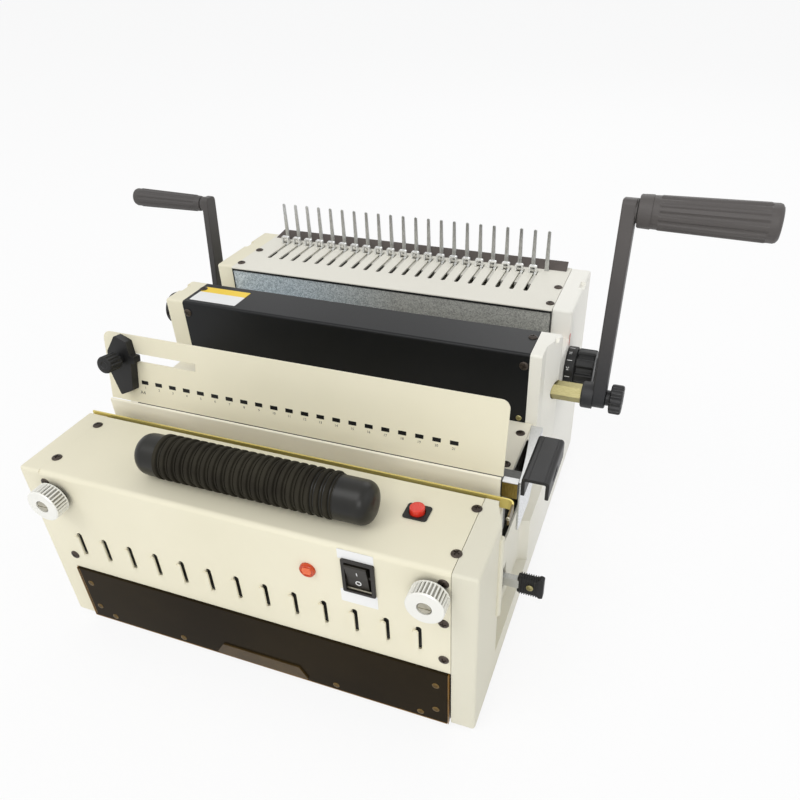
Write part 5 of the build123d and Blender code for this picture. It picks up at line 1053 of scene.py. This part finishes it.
LEFT_TIP = swung(COMB_AXIS, 115, 5.5)
LEFT_BOSS = [(-221, 7.6), (-225.2, 7.4), (-225.7, 6.6)]
LEFT_HUB = [(-213.2, 7.2), (-214.2, 8.2), (-216, 8.4), (-223.4, 8.4), (-224, 7.6), (-224, 0)]
left_arm = arm_form(COMB_AXIS, LEFT_TIP, 9, 8, (-222, -215), soft=1.1)
piece("left_arm", merged(
    left_arm, lathe(LEFT_BOSS, LEFT_TIP, sides=40), lathe(LEFT_HUB, COMB_AXIS, sides=40),
    rod(4, (-222, -269), LEFT_TIP)), "comb_crank", "black_plastic", "left_crank_arm", paint="crank_grey")
piece("left_grip_body", grip_form(-226, -87, LEFT_TIP, 8.5, 9.8, 10, 0.9), "left_grip", "black_plastic",
      "left_crank_grip", paint="crank_grey", sharp=40)

# Size dial with its scale and pointer, and the depth knob. PADS: steep-sided and wide grooves.
PADS = (2.2, 0.22)
DIAL_BAND = [(192.3, 19.4), (193, 20), (200.6, 20), (201.2, 19.4)]
DIAL_PADS = [(201, 18.2), (202, 18.8), (203, 19.4), (217.4, 19.4), (218.8, 18.8), (219.3, 17.4), (219.3, 13),
             (218.3, 12.2), (218.3, 0)]
TICK = ((-2.4, 2.4), (-0.3, 0.3), (-0.05, 0.05))
POINTER = [(294.4, 203), (299.4, 203), (296.8, 190.5)]
DEPTH_PADS = [(-192.4, 14.6), (-193, 15.4), (-194, 15.8), (-199, 15.8), (-200.4, 15.2), (-201, 14),
              (-201, 10), (-200.4, 9), (-200.4, 0)]

piece("dial_body", merged(
    lathe(DIAL_BAND, DIAL_AXIS, "x", 96),
    lathe(DIAL_PADS, DIAL_AXIS, "x", 160, flutes(8, 2.6, 202.6, 218, *PADS)),
    rod(4, (165, 193), DIAL_AXIS)), "dial", "black_plastic", "size_dial", sharp=40)


def on_dial(x, angle):
    """A place just over the dial's band, and the direction around the dial there."""
    out = Vector((0, cos(angle), sin(angle)))
    return Vector((x, *DIAL_AXIS)) + out * 20.02, Vector((0, -sin(angle), cos(angle)))


scale = []
for index in range(8):
    spot, around = on_dial(195.6, radians(-160 + 45 * index))
    scale.append(lettering(str(3 * index + 3), 3.6, facing(spot, around, (-1, 0, 0))))
    spot, around = on_dial(196, radians(-160 + 45 * index + 22.5))
    scale.append(placed(block(*TICK), facing(spot, (1, 0, 0), around)))
piece("dial_scale", merged(*scale), "dial", "cream_paint", paint="print_white")
fixed("dial_pointer", prism(POINTER, HALF, HALF + 0.25), "red_plastic", paint="print_red")
piece("depth_wheel", merged(
    lathe(DEPTH_PADS, DEPTH_AXIS, "x", 162, flutes(9, 1.8, -193.8, -200, *PADS)),
    rod(4, (-165, -193), DEPTH_AXIS)), "depth_setting", "black_plastic", "depth_knob", sharp=40)

# Drawer front: smoked sheet with amber edges, its tab and the screws behind it
DRAWER_HALF, EDGE, DRAWER_LOW, DRAWER_HIGH = 171.2, 1.0, 4.6, 65.9
DRAWER_DEPTH = (-2, 2)
TAB_OUTLINE = [(-39.5, 8), (50, 8), (42, 21.5), (-30.5, 21.5)]
DRAWER_SCREWS = [(x, -1.95, z) for x in (-161, 161) for z in (20, 49.7)]
DRAWER_SCREWS += [(x, -1.95, 11) for x in (-147, -73.8, 74.3, 148)]

sheet = block((-DRAWER_HALF + 1.1, DRAWER_HALF - 1.1), DRAWER_DEPTH, (5.7, DRAWER_HIGH), soft=0.25)
piece("drawer_sheet", sheet, "drawer", "smoked_acrylic", "drawer_front")
edges = [
    block((-DRAWER_HALF, -DRAWER_HALF + EDGE), DRAWER_DEPTH, (DRAWER_LOW, DRAWER_HIGH), soft=0.25),
    block((-DRAWER_HALF + 2.4, -DRAWER_HALF + 2.9), (-2.06, -1.9), (7.4, 65.4), soft=0.05),
    block((DRAWER_HALF - 0.6, DRAWER_HALF), DRAWER_DEPTH, (DRAWER_LOW, DRAWER_HIGH), soft=0.2),
    block((-DRAWER_HALF + EDGE, DRAWER_HALF - EDGE), DRAWER_DEPTH, (DRAWER_LOW, DRAWER_LOW + EDGE),
          soft=0.25),
]
piece("drawer_edges", merged(*edges), "drawer", "smoked_acrylic", paint="amber_edge")
piece("drawer_tab", prism(rounded(TAB_OUTLINE, 1.5), -3.5, -1.9, "y", soft=0.3), "drawer", "smoked_acrylic",
      paint="tab_brown")
piece("drawer_screw_heads", copies(screw_form(2.9, 0.5), screws(DRAWER_SCREWS, upright=True)), "drawer",
      "brass", "drawer_screws", paint="ghost_brass")
piece("chip_tray", soften(from_node("drawer_tray"), 0.4), "drawer", "galvanised", "drawer_tray")

# Blank label on the black cover
for name, ends in (("white", (217.4, 236.4)), ("yellow", (236.4, 247.5))):
    label = prism(rectangle((-168, -117), ends, 0.8, 3), TOWER, TOWER + 0.2, "z")
    fixed("label_" + name, label, "black_paint", paint="print_" + name)


# Camera, lights and floor: the camera's azimuth, elevation and roll, its place, lens and shift
CAMERA_ANGLES = (-20.67, 35.61, -1.35)
CAMERA_PLACE = (0.25729, -0.5093, 0.52184)
LENS_LENGTH, SHIFT_X, SHIFT_Y = 32.59, -0.0299, 0.0459
# Place, target, size and power of each lamp
LAMPS = {
    "key": ((-1.3, -2.4, 4.0), (0, 0, 0.1), 2.6, 60),
    "camera_side": ((0.9, -3.6, 1.9), (0, 0.1, 0.15), 1.8, 36),
    "fill": ((3.0, -0.4, 2.0), (0, 0, 0.1), 2.2, 9),
    "back": ((0.2, 1.8, 1.6), (0, 0, 0.1), 1.4, 6),
}
SKY_COLOUR, SKY_STRENGTH = (0.97, 0.98, 1.0, 1.0), 0.62
FLOOR_REACH, FLOOR_GLOW = 6.0, 0.85


def aim_camera():
    """The camera at the photograph's place, turn and framing."""
    azimuth, elevation, roll = (radians(angle) for angle in CAMERA_ANGLES)
    ahead = Vector((sin(azimuth) * cos(elevation), cos(azimuth) * cos(elevation), -sin(elevation)))
    right = Vector((cos(azimuth), -sin(azimuth), 0))
    above = right.cross(ahead)
    turned_right = cos(roll) * right + sin(roll) * above
    turned_above = cos(roll) * above - sin(roll) * right
    data = bpy.data.cameras.new("camera")
    data.sensor_width = 36
    data.lens = LENS_LENGTH
    data.shift_x = SHIFT_X
    data.shift_y = SHIFT_Y
    camera = linked("camera", data)
    turn = Matrix((turned_right, turned_above, -ahead)).transposed().to_4x4()
    camera.matrix_world = Matrix.Translation(CAMERA_PLACE) @ turn
    bpy.context.scene.camera = camera


def area_light(name, spot, target, size, power):
    data = bpy.data.lights.new(name, "AREA")
    data.size = size
    data.energy = power
    light = linked(name, data)
    light.location = spot
    light.rotation_euler = (Vector(target) - Vector(spot)).to_track_quat("-Z", "Y").to_euler()


def white_to_camera(owner, white, lit):
    """White where the camera or a reflection looks, and the lit shader elsewhere."""
    path = node(owner, "LightPath").outputs
    rays = {0: path["Is Camera Ray"], 1: path["Is Glossy Ray"]}
    seen = node(owner, "Math", rays, operation="MAXIMUM").outputs[0]
    return node(owner, "MixShader", {0: seen, 1: lit, 2: white}).outputs[0]


def light_world():
    world = bpy.data.worlds.new("studio")
    world.use_nodes = True
    tree = world.node_tree
    bpy.context.scene.world = world
    soft = tree.nodes["Background"]
    soft.inputs["Color"].default_value = SKY_COLOUR
    soft.inputs["Strength"].default_value = SKY_STRENGTH
    white = node(world, "Background", Color=(1, 1, 1, 1), Strength=1.0)
    mixed = white_to_camera(world, white.outputs[0], soft.outputs[0])
    tree.links.new(mixed, tree.nodes["World Output"].inputs["Surface"])


def lay_floor():
    form = bmesh.new()
    reach = FLOOR_REACH
    form.faces.new([form.verts.new((x, y, 0)) for x, y in (
        (-reach, -reach), (reach, -reach), (reach, reach), (-reach, reach))])
    floor = shown("floor", form)
    made = material("floor_white", Base_Color=(0.9, 0.9, 0.9, 1), Roughness=0.9)
    lit = made.node_tree.nodes[SHADER].outputs[0]
    glow = node(made, "Emission", Strength=1.0).outputs[0]
    pale = node(made, "MixShader", {1: lit, 2: glow}, Fac=FLOOR_GLOW).outputs[0]
    mixed = white_to_camera(made, pale, lit)
    made.node_tree.links.new(mixed, made.node_tree.nodes["Material Output"].inputs["Surface"])
    floor.data.materials.append(made)


aim_camera()
light_world()
for name, setting in LAMPS.items():
    area_light(name, *setting)
lay_floor()
bpy.context.scene.view_settings.view_transform = "Standard"
